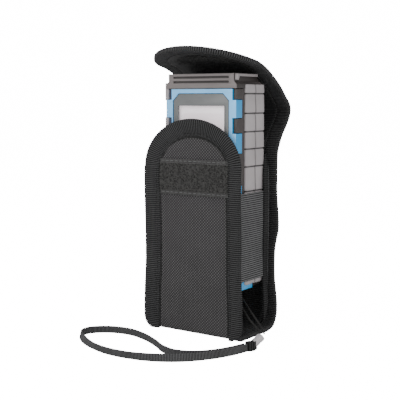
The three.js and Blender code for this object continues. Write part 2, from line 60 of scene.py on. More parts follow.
class Field:
    """A shader socket that Python arithmetic works on: each operator adds one Math node."""

    def __init__(self, shader: "Shader", socket: bpy.types.NodeSocket) -> None:
        """Keeps the socket with the shader that it belongs to."""
        self.shader = shader
        self.socket = socket

    def __add__(self, other: "Field | float") -> "Field":
        """Sum."""
        return self.shader.math("ADD", self, other)

    __radd__ = __add__

    def __sub__(self, other: "Field | float") -> "Field":
        """Difference."""
        return self.shader.math("SUBTRACT", self, other)

    def __rsub__(self, other: "Field | float") -> "Field":
        """Difference, with this field taken away."""
        return self.shader.math("SUBTRACT", other, self)

    def __mul__(self, other: "Field | float") -> "Field":
        """Product."""
        return self.shader.math("MULTIPLY", self, other)

    __rmul__ = __mul__

    def __truediv__(self, other: "Field | float") -> "Field":
        """Quotient."""
        return self.shader.math("DIVIDE", self, other)

    def __rtruediv__(self, other: "Field | float") -> "Field":
        """Quotient, with this field below the line."""
        return self.shader.math("DIVIDE", other, self)

    def __pow__(self, other: "Field | float") -> "Field":
        """Power."""
        return self.shader.math("POWER", self, other)

    def __abs__(self) -> "Field":
        """Size without sign."""
        return self.shader.math("ABSOLUTE", self)

    def wave(self) -> "Field":
        """Sine of pi times this field: one half wave for each whole number."""
        return self.shader.math("SINE", self * math.pi)

    def least(self, other: "Field | float") -> "Field":
        """The smaller of the two."""
        return self.shader.math("MINIMUM", self, other)

    def step(self, low: float, high: float) -> "Field":
        """Runs smoothly from 0 at low to 1 at high, and the other way round where low is above high.

        Args:
            low: the value that gives 0.
            high: the value that gives 1.

        Returns:
            The smooth step.
        """
        settings = {"interpolation_type": "SMOOTHSTEP"}
        sockets = {"Value": self, "From Min": low, "From Max": high}
        return self.shader.out(self.shader.node("ShaderNodeMapRange", settings, sockets))

    def band(self, low: float, high: float, edge: float) -> "Field":
        """1 between low and high with edges that soft, 0 outside."""
        return self.step(low - edge, low) * self.step(high + edge, high)


class Shader:
    """One material: its node tree, with a Principled shader whose plain values are set once."""

    def __init__(self, name: str, **plain: float | Colour) -> None:
        """Makes the material.

        Args:
            name: the material's name.
            **plain: values of the Principled sockets, with _ for a space in the socket's name.
        """
        self.material = bpy.data.materials.new(name)
        self.material.use_nodes = True
        self.tree = self.material.node_tree
        self.surface = self.tree.nodes["Principled BSDF"]
        for key, value in plain.items():
            socket = self.surface.inputs[key.replace("_", " ").title().replace("Ior", "IOR")]
            socket.default_value = (*value, 1.0) if isinstance(value, tuple) else value

    def node(self, kind: str, settings: dict | None = None, sockets: dict | None = None) -> bpy.types.Node:
        """Adds a node.

        Args:
            kind: the node's type.
            settings: its properties, set first.
            sockets: values or fields for its inputs, by name or number.

        Returns:
            The node.
        """
        node = self.tree.nodes.new(kind)
        for key, value in (settings or {}).items():
            setattr(node, key, value)
        for key, value in (sockets or {}).items():
            self.feed(node.inputs[key], value)
        return node

    def feed(self, socket: bpy.types.NodeSocket, value: "Field | float | tuple") -> None:
        """Links a field to a socket, or sets the socket's own value.

        Args:
            socket: the input.
            value: a field, a number, or a colour of three numbers.
        """
        if isinstance(value, Field):
            self.tree.links.new(value.socket, socket)
        elif isinstance(value, tuple) and len(value) == 3 and len(socket.default_value) == 4:
            socket.default_value = (*value, 1.0)
        else:
            socket.default_value = value

    def out(self, node: bpy.types.Node, key: int | str = 0) -> Field:
        """One output of a node as a field."""
        return Field(self, node.outputs[key])

    def math(self, operation: str, *values: "Field | float") -> Field:
        """One Math node on fields and numbers."""
        return self.out(self.node("ShaderNodeMath", {"operation": operation}, dict(enumerate(values))))

    def mix(self, share: "Field | float", first: "Field | Colour", second: "Field | Colour") -> Field:
        """Mixes two colours: the first where share is 0, the second where it is 1."""
        node = self.node("ShaderNodeMix", {"data_type": "RGBA"}, {0: share, 6: first, 7: second})
        return self.out(node, 2)

    def uv(self) -> tuple[Field, Field]:
        """Across and along the piece in metres, from its UV map."""
        split = self.node("ShaderNodeSeparateXYZ", None, {0: self.out(self.node("ShaderNodeUVMap"))})
        return self.out(split, 0), self.out(split, 1)

    def place(self) -> tuple[Field, Field, Field]:
        """The point's own x, y and z in metres."""
        split = self.node("ShaderNodeSeparateXYZ", None, {0: self.point()})
        return self.out(split, 0), self.out(split, 1), self.out(split, 2)

    def point(self) -> Field:
        """Object coordinates as a vector."""
        return self.out(self.node("ShaderNodeTexCoord"), "Object")

    def noise(self, scale: float, detail: float = 3.0, vector: "Field | None" = None) -> Field:
        """Fractal noise from 0 to 1, with this many cells to a metre."""
        sockets = {"Vector": vector or self.point(), "Scale": scale, "Detail": detail}
        return self.out(self.node("ShaderNodeTexNoise", None, sockets))

    def drive(self, socket: str, value: Field) -> None:
        """Lets a field set one of the Principled shader's sockets."""
        self.feed(self.surface.inputs[socket], value)

    def bump(self, height: Field, depth: float, strength: float = 1.0) -> None:
        """Raises the surface in its shading: depth is in metres for a height of 1."""
        sockets = {"Height": height, "Distance": depth, "Strength": strength}
        self.drive("Normal", self.out(self.node("ShaderNodeBump", None, sockets)))


# ---------------------------------------------------------------- finishes


@dataclass(frozen=True)
class Weave:
    """Coated ballistic cloth: a plain weave of thick threads that shine on their crowns; the crowns are also
    painted lighter as highlight, and the gaps and the under yarn are painted darker as shade.
    """

    name: str
    gap: Colour
    thread: Colour
    pitch_across: float = 0.92 * MM
    pitch_along: float = 0.88 * MM
    depth: float = 0.2 * MM
    roughness: float = 0.62

    def build(self) -> bpy.types.Material:
        """Makes the material: warp shows where the two waves have one sign, weft elsewhere.

        Returns:
            The material.
        """
        shader = Shader(self.name, specular_ior_level=0.22, sheen_weight=0.03, sheen_roughness=0.5)
        across, along = shader.uv()
        wobble = (shader.noise(140.0, 2.0) - 0.5) * 0.35
        warp = (across / self.pitch_across + wobble).wave()
        weft = (along / self.pitch_along + wobble).wave()
        over = (warp * weft).step(-0.12, 0.12)
        crown_warp = (abs(warp) ** 0.6) * (0.55 + 0.45 * abs(weft))
        crown_weft = (abs(weft) ** 0.6) * (0.55 + 0.45 * abs(warp))
        height = over * crown_warp + (1.0 - over) * crown_weft * 0.6
        # Partly the weave's own pattern, partly painted light: the crowns lighter as painted highlight, and
        # the yarn underneath (0.22) and the gaps darker as painted shade.
        painted_crown_light = over * crown_warp + (1.0 - over) * crown_weft * 0.22
        tone = (painted_crown_light * (0.8 + 0.6 * shader.noise(60.0))).least(1.0)
        shader.drive("Base Color", shader.mix(tone, self.gap, self.thread))
        shader.drive("Roughness", self.roughness + 0.25 * (1.0 - height))
        shader.bump(height, self.depth)
        return shader.material


@dataclass(frozen=True)
class Ribbed:
    """Woven tape with ribs across its length, as binding, elastic and strap webbing have."""

    name: str
    gap: Colour
    thread: Colour
    pitch: float
    depth: float = 0.12 * MM
    roughness: float = 0.7
    yarns: float = 0.45 * MM
    cut: float = 0.6

    def build(self) -> bpy.types.Material:
        """Makes the material: rib waves along the tape, cut by finer yarn waves across it.

        Returns:
            The material.
        """
        shader = Shader(self.name, specular_ior_level=0.2, sheen_weight=0.02, sheen_roughness=0.5)
        across, along = shader.uv()
        wobble = (shader.noise(220.0, 2.0) - 0.5) * 0.3
        rib = abs((along / self.pitch + wobble * 0.3).wave())
        yarn = abs((across / self.yarns + wobble).wave())
        height = rib ** 0.7 * (1.0 - self.cut / 2 + self.cut / 2 * yarn)
        # Partly the tape's own ribs, partly painted light: crests lighter as painted highlight, and the gaps
        # between ribs darker as painted shade.
        tone = (rib ** 2.5 * (1.0 - self.cut + self.cut * yarn) * (0.7 + 0.8 * shader.noise(90.0))).least(1.0)
        shader.drive("Base Color", shader.mix(tone, self.gap, self.thread))
        shader.drive("Roughness", self.roughness + 0.2 * (1.0 - rib))
        shader.bump(height, self.depth)
        return shader.material


@dataclass(frozen=True)
class Pile:
    """Hook or loop tape: a fuzzy field of tiny loops between two flat woven edges."""

    name: str
    deep: Colour
    tip: Colour
    edge_colour: Colour
    width: float
    edge: float = 2.4 * MM

    def build(self) -> bpy.types.Material:
        """Makes the material: cells of pile inside, ribs where the across coordinate nears an edge.

        Returns:
            The material.
        """
        shader = Shader(self.name, roughness=0.95, specular_ior_level=0.1,
                        sheen_weight=0.05, sheen_roughness=0.6)
        across, along = shader.uv()
        cells = shader.node("ShaderNodeTexVoronoi", None, {"Vector": shader.point(), "Scale": 950.0})
        fuzz = shader.out(cells, "Distance") * 0.8 + shader.noise(1300.0, 4.0) * 0.7
        half = self.width / 2
        inside = across.band(-half + self.edge, half - self.edge, 0.4 * MM)
        rib = abs((along / (0.9 * MM)).wave()) * abs((across / (0.6 * MM)).wave())
        pile = shader.mix(fuzz.step(0.3, 0.95), self.deep, self.tip)
        woven = shader.mix(rib, self.deep, self.edge_colour)
        shader.drive("Base Color", shader.mix(inside, woven, pile))
        shader.bump(inside * fuzz + (1.0 - inside) * rib * 0.4, 0.5 * MM)
        return shader.material


@dataclass(frozen=True)
class Moulded:
    """Moulded plastic or rubber: a fine spark texture, faint dirt in the colour and convex edges lifted
    lighter.
    """

    name: str
    colour: Colour
    roughness: float = 0.45
    grain: float = 0.02 * MM
    grain_scale: float = 2600.0
    mottle: float = 0.08
    coat: float = 0.0
    edge_lift: float = 0.15
    # Side colour: painted shade on the faces that look sideways, or, with behind, on recessed faces.
    painted_side_shade: Colour | None = None
    behind: float | None = None
    # Shade edge: left of this x, outside the tab heights, the colour is painted near black as shade in the
    # gap.
    painted_shade_edge: float | None = None
    painted_shade_colour: Colour = (0.012, 0.02, 0.05)
    tabs: tuple = ((0, 32), (49, 59), (77, 87), (105, 116), (124.7, 134.6))
    # Seams: the depth attribute darkens the colour as painted shade in the seams and the crease.
    seams: bool = False

    def build(self) -> bpy.types.Material:
        """Makes the material: base colour lifted on convex edges, mottled by slow noise.

        Where the side colour is given, faces that look sideways take it as painted shade, or, with behind,
        all faces but the upper ones that lie deeper than that y, as painted shade in the recesses. Where the
        shade edge is given, what lies left of that x is painted near black, as shade in the gap there,
        outside the heights of the tabs. With seams, an attribute named depth darkens the surface: painted
        shade in the seams and the crease.

        Returns:
            The material.
        """
        shader = Shader(self.name, roughness=self.roughness, coat_weight=self.coat, coat_roughness=0.2)
        slow = shader.noise(45.0, 4.0)
        fast = shader.noise(self.grain_scale, 2.0)
        edge = shader.out(shader.node("ShaderNodeNewGeometry"), "Pointiness").step(0.52, 0.62)
        dark = tuple(c * (1 - self.mottle) for c in self.colour)
        light = tuple(min(1.0, c * (1 + self.mottle)) for c in self.colour)
        lifted = tuple(min(1.0, c * 1.25 + 0.02) for c in self.colour)
        # Convex edges, found by Pointiness, are lifted to a lighter tone.
        body = shader.mix(edge * self.edge_lift, shader.mix(slow.step(0.3, 0.7), dark, light), lifted)
        # Painted shade: left of the edge x and between the tabs, the colour turns near black as the shade
        # between frame and armour.
        if self.painted_shade_edge:
            x, _, z = shader.place()
            near = x.step(self.painted_shade_edge + 0.2 * MM, self.painted_shade_edge)
            for low, high in self.tabs:
                near = near * (1.0 - z.band(low * MM, high * MM, 0.2 * MM))
            body = shader.mix(near, body, self.painted_shade_colour)
        # Painted shade: sideways faces, or recessed faces other than their upper ones, take the darker side
        # colour.
        if self.painted_side_shade:
            body = shader.mix(self.painted_side_shade_mask(shader), body, self.painted_side_shade)
        # Painted shade: the depth attribute darkens the seams and the crease to a tenth of the colour.
        if self.seams:
            seam = shader.out(shader.node("ShaderNodeAttribute", {"attribute_name": "depth"}), "Fac")
            body = shader.mix(seam, body, tuple(c * 0.1 for c in self.colour))
        shader.drive("Base Color", body)
        shader.drive("Roughness", self.roughness + (slow - 0.5) * 0.12 + (fast - 0.5) * 0.08)
        shader.bump(fast, self.grain)
        return shader.material

    def painted_side_shade_mask(self, shader: Shader) -> Field:
        """1 on the faces that take the side colour as painted shade.

        Args:
            shader: the material under construction.

        Returns:
            The mask.
        """
        facing = shader.out(shader.node("ShaderNodeNewGeometry"), "Normal")
        split = shader.node("ShaderNodeSeparateXYZ", None, {0: facing})
        if self.behind is None:
            return abs(shader.out(split, 0)).step(0.6, 0.9)
        deeper = shader.place()[1].step(self.behind, self.behind + 0.25 * MM)
        return deeper * shader.out(split, 2).step(0.85, 0.6)


@dataclass(frozen=True)
class Metal:
    """Plated or turned metal with fine scratches along one axis."""

    name: str
    colour: Colour
    roughness: float = 0.3

    def build(self) -> bpy.types.Material:
        """Makes the material: roughness and bump from stretched noise.

        Returns:
            The material.
        """
        shader = Shader(self.name, roughness=self.roughness, metallic=1.0)
        sockets = {"Vector": shader.point(), "Scale": (1.0, 1.0, 0.08)}
        stretch = shader.node("ShaderNodeMapping", None, sockets)
        scratch = shader.noise(5200.0, 3.0, shader.out(stretch))
        dull = tuple(c * 0.8 for c in self.colour)
        shader.drive("Base Color", shader.mix(shader.noise(300.0), dull, self.colour))
        shader.drive("Roughness", self.roughness + scratch * 0.2)
        shader.bump(scratch, 0.01 * MM)
        return shader.material


@dataclass(frozen=True)
class Pane:
    """Clear plastic over the display: nearly see-through, glossy."""

    name: str
    colour: Colour
    alpha: float = 0.12

    def build(self) -> bpy.types.Material:
        """Makes the material with a faint haze that varies in its roughness.

        Returns:
            The material.
        """
        shader = Shader(self.name, alpha=self.alpha, base_color=self.colour, coat_weight=0.3)
        shader.drive("Roughness", 0.06 + 0.08 * shader.noise(120.0))
        return shader.material


@dataclass(frozen=True)
class Display:
    """A switched-off liquid-crystal panel: pale, a shade lighter inside its active field, finely dotted, with
    a faint painted glow.
    """

    name: str
    field_colour: Colour
    rim_colour: Colour
    half_width: float
    low: float
    high: float
    centre: float
    painted_glow: Colour = (1.0, 0.87, 0.92)
    painted_glow_strength: float = 0.5

    def build(self) -> bpy.types.Material:
        """Makes the material: the active field is a band in x times a band in z.

        Returns:
            The material.
        """
        shader = Shader(self.name, roughness=0.35)
        x, _, z = shader.place()
        inside = (x - self.centre).band(-self.half_width, self.half_width, 0.3 * MM)
        inside = inside * z.band(self.low, self.high, 0.3 * MM)
        dots = abs((x / (0.45 * MM)).wave()) * abs((z / (0.45 * MM)).wave())
        cloudy = shader.noise(35.0, 2.0)
        tint = tuple(c * 0.93 for c in self.field_colour)
        panel = shader.mix((dots * 0.3 + cloudy * 0.5).least(1.0), self.field_colour, tint)
        shader.drive("Base Color", shader.mix(inside, self.rim_colour, panel))
        shader.drive("Roughness", 0.3 + 0.1 * cloudy)
        # Painted glow: the switched-off panel emits a faint pink light.
        shader.surface.inputs["Emission Color"].default_value = (*self.painted_glow, 1.0)
        shader.surface.inputs["Emission Strength"].default_value = self.painted_glow_strength
        return shader.material


class Slot(Enum):
    """The material slots."""

    CLOTH = "pouch_cloth"
    BINDING = "binding_tape"
    LOOP = "loop_pile"
    HOOK = "hook_pile"
    ELASTIC = "elastic_web"
    BELT = "belt_web"
    STRAP = "strap_web"
    STRING = "string_cord"
    CRIMP = "crimp_plastic"
    DARK = "dark_plastic"
    BLUE = "blue_plastic"
    CAP = "cap_plastic"
    ARMOUR = "armour_rubber"
    TRIM_HIGHLIGHT = "trim_plastic"
    FACE = "face_plastic"
    WINDOW = "clear_window"
    LCD = "lcd"
    KEY = "key_rubber"
    ACCENT = "accent_rubber"
    BOARD = "circuit_board"
    BRASS = "brass"
    STEEL = "steel"
    CELL = "cell_wrap"


FINISHES = {
    # Cloth: gap is painted shade between the threads and thread is painted highlight on their crowns.
    Slot.CLOTH: Weave("pouch_cloth", gap=(0.003, 0.003, 0.0032), thread=(0.098, 0.0935, 0.096)),
    # Ribbed tapes: gap is painted shade between the ribs and thread is painted highlight on their crests.
    Slot.BINDING: Ribbed("binding_tape", gap=(0.0006, 0.0006, 0.0006), thread=(0.056, 0.056, 0.0575),
                         pitch=1.15 * MM),
    Slot.LOOP: Pile("loop_pile", (0.0035, 0.0035, 0.0034), (0.05, 0.049, 0.0475), (0.125, 0.124, 0.122),
                    20 * MM),
    Slot.HOOK: Pile("hook_pile", (0.004, 0.004, 0.004), (0.02, 0.02, 0.02), (0.02, 0.02, 0.02), 60 * MM),
    Slot.ELASTIC: Ribbed("elastic_web", gap=(0.006, 0.006, 0.0062), thread=(0.125, 0.125, 0.128),
                         pitch=1.2 * MM, cut=0.12),
    Slot.BELT: Ribbed("belt_web", gap=(0.001, 0.001, 0.001), thread=(0.03, 0.03, 0.031), pitch=1.3 * MM),
    Slot.STRAP: Ribbed("strap_web", gap=(0.004, 0.004, 0.0042), thread=(0.112, 0.112, 0.115),
                       pitch=0.8 * MM),
    Slot.STRING: Ribbed("string_cord", gap=(0.002, 0.002, 0.002), thread=(0.03, 0.029, 0.028),
                        pitch=0.7 * MM),
    Slot.CRIMP: Moulded("crimp_plastic", (0.42, 0.4, 0.41), roughness=0.4, edge_lift=0.3),
    Slot.DARK: Moulded("dark_plastic", (0.035, 0.029, 0.028), roughness=0.5),
    # Blue frame: sideways faces painted darker as shade, and the strip left of the edge x painted near black
    # as shade.
    Slot.BLUE: Moulded("blue_plastic", (0.2, 0.54, 0.96), roughness=0.32, coat=0.15,
                       painted_side_shade=(0.006, 0.27, 0.58), painted_shade_edge=-17.2 * MM),
    # Cap: the recessed grooves behind the front are painted darker as shade, all but their upper faces.
    Slot.CAP: Moulded("cap_plastic", (0.15, 0.132, 0.13), roughness=0.5, grain=0.03 * MM,
                      painted_side_shade=(0.024, 0.019, 0.018), behind=-13.65 * MM),
    # Armour: painted shade in its seams and crease, from the depth attribute.
    Slot.ARMOUR: Moulded("armour_rubber", (0.32, 0.296, 0.302), roughness=0.62, grain=0.03 * MM,
                         mottle=0.1, seams=True),
    # Cap trims: a CAD part, but its lighter grey than the cap is a painted highlight where the chamfered edge
    # catches the light.
    Slot.TRIM_HIGHLIGHT: Moulded("trim_plastic", (0.24, 0.22, 0.22), roughness=0.45),
    Slot.FACE: Moulded("face_plastic", (0.128, 0.134, 0.135), roughness=0.38, grain=0.015 * MM),
    Slot.WINDOW: Pane("clear_window", (0.8, 0.78, 0.78), alpha=0.06),
    Slot.LCD: Display("lcd", (0.86, 0.79, 0.82), (0.95, 0.92, 0.94), 13.4 * MM, 94.5 * MM, 127 * MM, 3 * MM),
    Slot.KEY: Moulded("key_rubber", (0.05, 0.05, 0.052), roughness=0.7, grain=0.04 * MM),
    Slot.ACCENT: Moulded("accent_rubber", (0.16, 0.42, 0.7), roughness=0.6, grain=0.04 * MM),
    Slot.BOARD: Moulded("circuit_board", (0.02, 0.12, 0.05), roughness=0.4, mottle=0.3),
    Slot.BRASS: Metal("brass", (0.78, 0.57, 0.24)),
    Slot.STEEL: Metal("steel", (0.62, 0.62, 0.62), 0.28),
    Slot.CELL: Moulded("cell_wrap", (0.08, 0.1, 0.16), roughness=0.25, coat=0.3),
}


class Dresser:
    """Gives pieces their material, slot and body, and reports them."""

    def __init__(self) -> None:
        """Builds each finish once."""
        self.materials = {slot: finish.build() for slot, finish in FINISHES.items()}
        self.count = 0

    def dress(self, piece: bpy.types.Object, slot: Slot, body: str | None, *nodes: str) -> bpy.types.Object:
        """Finishes one piece.

        Args:
            piece: the object.
            slot: the material slot it takes.
            body: the body it rides on, or None, which leaves it unattached.
            *nodes: the CAD nodes it stands for.

        Returns:
            The piece.
        """
        piece.data.materials.clear()
        piece.data.materials.append(self.materials[slot])
        if body:
            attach(piece, body)
        if nodes:
            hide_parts(*nodes)
        self.count += 1
        stands_for = ", ".join(nodes) or "detail"
        LOG.info("piece %d: %s, %s, stands for %s", self.count, piece.name, slot.value, stands_for)
        return piece

    def paint(self, node: str, slot: Slot) -> None:
        """Gives a carried-over CAD node its procedural material.

        Args:
            node: the CAD node.
            slot: the material slot it takes.
        """
        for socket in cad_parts[node].material_slots:
            socket.material = self.materials[slot]
        LOG.info("carried over: %s, %s", node, slot.value)


# ---------------------------------------------------------------- surfaces


def circle(count: int) -> Array:
    """Evenly spaced angles round one full turn."""
    return np.linspace(0, 2 * math.pi, count, endpoint=False)


def squared(values: Array, power: float) -> Array:
    """The values with their sizes raised to a power; a low power squares off a sine or cosine."""
    return np.sign(values) * np.abs(values) ** power


def chart(across: Array, along: Array) -> Array:
    """Map values for a grid of points: across changes with the column, along with the row."""
    return np.stack(np.broadcast_arrays(across[None, :], along[:, None]), -1)


def lengths(path: Array) -> Array:
    """Distance along a path to each of its points."""
    return np.concatenate([[0.0], np.cumsum(np.linalg.norm(np.diff(path, axis=0), axis=1))])


def at_lengths(path: Array, reach: Array, wanted: Array) -> Array:
    """The path's points where its own measure, reach, has the wanted values."""
    return np.stack([np.interp(wanted, reach, path[:, axis]) for axis in range(path.shape[1])], axis=1)


def even(path: Array, step: float) -> Array:
    """The path again, with its points evenly spaced about one step apart."""
    reach = lengths(path)
    return at_lengths(path, reach, np.linspace(0, reach[-1], max(2, int(round(reach[-1] / step)) + 1)))


def spline(points: Sequence[Sequence[float]], samples: int = 40) -> Array:
    """A smooth curve through the points.

    Centripetal Catmull-Rom: each span is blended from its four neighbouring points, with knots apart by
    the square root of their distance; the ends get a mirrored neighbour.

    Args:
        points: what it passes through, of any dimension.
        samples: how many samples each span gets.

    Returns:
        The curve's points.
    """
    p = np.asarray(points, float)
    p = np.concatenate([[2 * p[0] - p[1]], p, [2 * p[-1] - p[-2]]])
    knots = np.concatenate([[0.0], np.cumsum(np.sqrt(np.linalg.norm(np.diff(p, axis=0), axis=1)))])
    t0, t1, t2, t3 = (knots[i:len(knots) - 3 + i][:, None, None] for i in range(4))
    p0, p1, p2, p3 = (p[i:len(p) - 3 + i][:, None, :] for i in range(4))
    t = t1 + (t2 - t1) * np.linspace(0, 1, samples, endpoint=False)[None, :, None]
    a1 = (t1 - t) / (t1 - t0) * p0 + (t - t0) / (t1 - t0) * p1
    a2 = (t2 - t) / (t2 - t1) * p1 + (t - t1) / (t2 - t1) * p2
    a3 = (t3 - t) / (t3 - t2) * p2 + (t - t2) / (t3 - t2) * p3
    b1 = (t2 - t) / (t2 - t0) * a1 + (t - t0) / (t2 - t0) * a2
    b2 = (t3 - t) / (t3 - t1) * a2 + (t - t1) / (t3 - t1) * a3
    curve = (t2 - t) / (t2 - t1) * b1 + (t - t1) / (t2 - t1) * b2
    return np.concatenate([curve.reshape(-1, p.shape[1]), p[-2:-1]])


def ripple(points: Array, size: float, reach: float, seed: int) -> Array:
    """Slow folds for cloth: a sum of six sine waves in seeded directions about one reach long.

    Args:
        points: where to work it out, with x, y and z last.
        size: the height of the sum, roughly.
        reach: the length of one wave.
        seed: picks directions and phases.

    Returns:
        One height for each point.
    """
    dice = np.random.default_rng(seed)
    ways = dice.normal(size=(6, 3))
    ways /= np.linalg.norm(ways, axis=1)[:, None]
    turns = dice.uniform(0, 2 * math.pi, 6)
    waves = np.sin(points @ ways.T * (2 * math.pi / reach) + turns)
    return waves.sum(axis=-1) * size / 3


def make_mesh(name: str, points: Array, faces: Array, fans: Array | None, uv: Array,
              fan_uv: Array | None) -> bpy.types.Object:
    """Puts points, four-sided faces and end fans into a new smooth mesh object.

    Args:
        name: the piece's name.
        points: all points, one row each.
        faces: four point numbers to a row.
        fans: three point numbers to a row, or None.
        uv: two map values for each corner of the faces.
        fan_uv: two map values for each corner of the fans, or None.

    Returns:
        The object, at the origin.
    """
    mesh = bpy.data.meshes.new(name)
    polygons = faces.tolist() + (fans.tolist() if fans is not None else [])
    mesh.from_pydata(points.tolist(), [], polygons)
    corners = uv.reshape(-1, 2)
    if fan_uv is not None:
        corners = np.concatenate([corners, fan_uv.reshape(-1, 2)])
    mesh.uv_layers.new(name="UVMap").data.foreach_set("uv", corners.astype(np.float32).ravel())
    mesh.polygons.foreach_set("use_smooth", np.ones(len(polygons), bool))
    mesh.update()
    piece = bpy.data.objects.new(name, mesh)
    bpy.context.scene.collection.objects.link(piece)
    return piece


def outward(points: Array, faces: Array, inside: Array) -> float:
    """Positive where the faces, taken together, look away from the inside point."""
    a, b, c = (points[faces[:, i]] for i in range(3))
    return float(np.sum(np.cross(b - a, c - a) * (a - inside)))


def grid(name: str, points: Array, uv: Array, inside: Sequence[float] = (0.0, 0.0, 0.09)) -> bpy.types.Object:
    """An open surface from a grid of points, facing away from the inside point.

    Args:
        name: the piece's name.
        points: rows along the piece, columns across it, x, y and z.
        uv: across and along in metres for each grid point.
        inside: a point behind the surface.

    Returns:
        The object.
    """
    rows, columns = points.shape[:2]
    index = np.arange(rows * columns).reshape(rows, columns)
    faces = np.stack([index[:-1, :-1], index[:-1, 1:], index[1:, 1:], index[1:, :-1]], -1).reshape(-1, 4)
    flat = points.reshape(-1, 3)
    if outward(flat, faces, np.asarray(inside)) < 0:
        faces = faces[:, ::-1]
    return make_mesh(name, flat, faces, None, uv.reshape(-1, 2)[faces], None)


FAN_SHIFT = 0.58 * MM


def tube(name: str, points: Array, uv: Array) -> bpy.types.Object:
    """A closed surface: rings of points along the piece, with a fan on each end.

    The fans' map values are moved along by FAN_SHIFT, so that ribbed finishes show a crown there.

    Args:
        name: the piece's name.
        points: one ring to a row, x, y and z, not repeating the first point.
        uv: across and along in metres, with one more column than the points have.

    Returns:
        The object.
    """
    rows, columns = points.shape[:2]
    index = np.arange(rows * columns).reshape(rows, columns)
    ring = np.concatenate([index, index[:, :1]], axis=1)
    place = np.arange(rows * (columns + 1)).reshape(rows, columns + 1)

    def quads(numbers: Array) -> Array:
        """Four corners for each cell of a grid of numbers."""
        cells = [numbers[:-1, :-1], numbers[:-1, 1:], numbers[1:, 1:], numbers[1:, :-1]]
        return np.stack(cells, -1).reshape(-1, 4)

    faces, spots = quads(ring), quads(place)
    first, last = rows * columns, rows * columns + 1
    flat = np.concatenate([points.reshape(-1, 3), [points[0].mean(axis=0)], [points[-1].mean(axis=0)]])
    around = np.arange(columns)
    following = (around + 1) % columns
    low = np.stack([index[0, following], index[0, around], np.full(columns, first)], -1)
    high = np.stack([index[-1, around], index[-1, following], np.full(columns, last)], -1)
    fans = np.concatenate([low, high])
    flat_uv = uv.reshape(-1, 2)
    ends = np.concatenate([flat_uv[place[0, around]], flat_uv[place[-1, around]]]) + (0.0, FAN_SHIFT)
    fan_uv = np.repeat(ends[:, None, :], 3, axis=1)
    triangles = np.concatenate([faces[:, :3], faces[:, [0, 2, 3]], fans])
    if outward(flat, triangles, np.zeros(3)) < 0:
        faces, spots, fans = faces[:, ::-1], spots[:, ::-1], fans[:, ::-1]
    return make_mesh(name, flat, faces, fans, flat_uv[spots], fan_uv)


def unit(vectors: Array) -> Array:
    """The vectors at length 1."""
    return vectors / np.maximum(np.linalg.norm(vectors, axis=-1, keepdims=True), 1e-12)


@dataclass
class Tape:
    """Ribbed tape folded over an edge, carried between an inner and an outer rail.

    Across, its section is a flattened ring: the position between the rails is the cosine of the angle
    raised to a low power, and the half thickness the sine raised to another, thicker towards the outer
    edge and drawn in along the sewn line. Along, a half wave for each rib raises both faces and the edge.
    """

    thickness: float = 3.3 * MM
    pitch: float = 1.15 * MM
    relief: float = 0.4 * MM
    sewn_line: float = -0.68
    steps: int = 5
    columns: int = 30

    def build(self, name: str, inner: Array, outer: Array) -> bpy.types.Object:
        """Makes the tape.

        Args:
            name: the piece's name.
            inner: the rail along the cloth, dense.
            outer: the rail along the free edge, as many points.

        Returns:
            The object.
        """
        reach = lengths((inner + outer) / 2)
        count = max(4, int(round(reach[-1] / self.pitch)) * self.steps + 1)
        wanted = np.linspace(0, reach[-1], count)
        inner, outer = at_lengths(inner, reach, wanted), at_lengths(outer, reach, wanted)
        middle, half = (inner + outer) / 2, (outer - inner) / 2
        face = unit(np.cross(half, np.gradient(middle, axis=0)))
        angle = circle(self.columns)
        cosine, sine = np.cos(angle), np.sin(angle)
        across = squared(cosine, 0.62)
        deep = squared(sine, 0.42)
        bulk = self.thickness / 2 * (0.84 + 0.16 * across)
        bulk = bulk - 0.34 * MM * np.exp(-(((across - self.sewn_line) / 0.09) ** 2))
        rib = np.abs(np.sin(math.pi * wanted / self.pitch)) ** 0.7
        lift = self.relief * (rib[:, None] - 0.5)
        thick = deep[None, :] * (bulk[None, :] + lift)
        growth = np.where(across > 0, 1, 0)[None, :] * lift * 0.9 / np.linalg.norm(half, axis=1)[:, None]
        wide = across[None, :] * (1 + growth)
        points = middle[:, None] + half[:, None] * wide[..., None] + face[:, None] * thick[..., None]
        around = np.append(across, across[0]) * np.linalg.norm(half[0])
        uv = chart(around, wanted)
        return tube(name, points, uv)


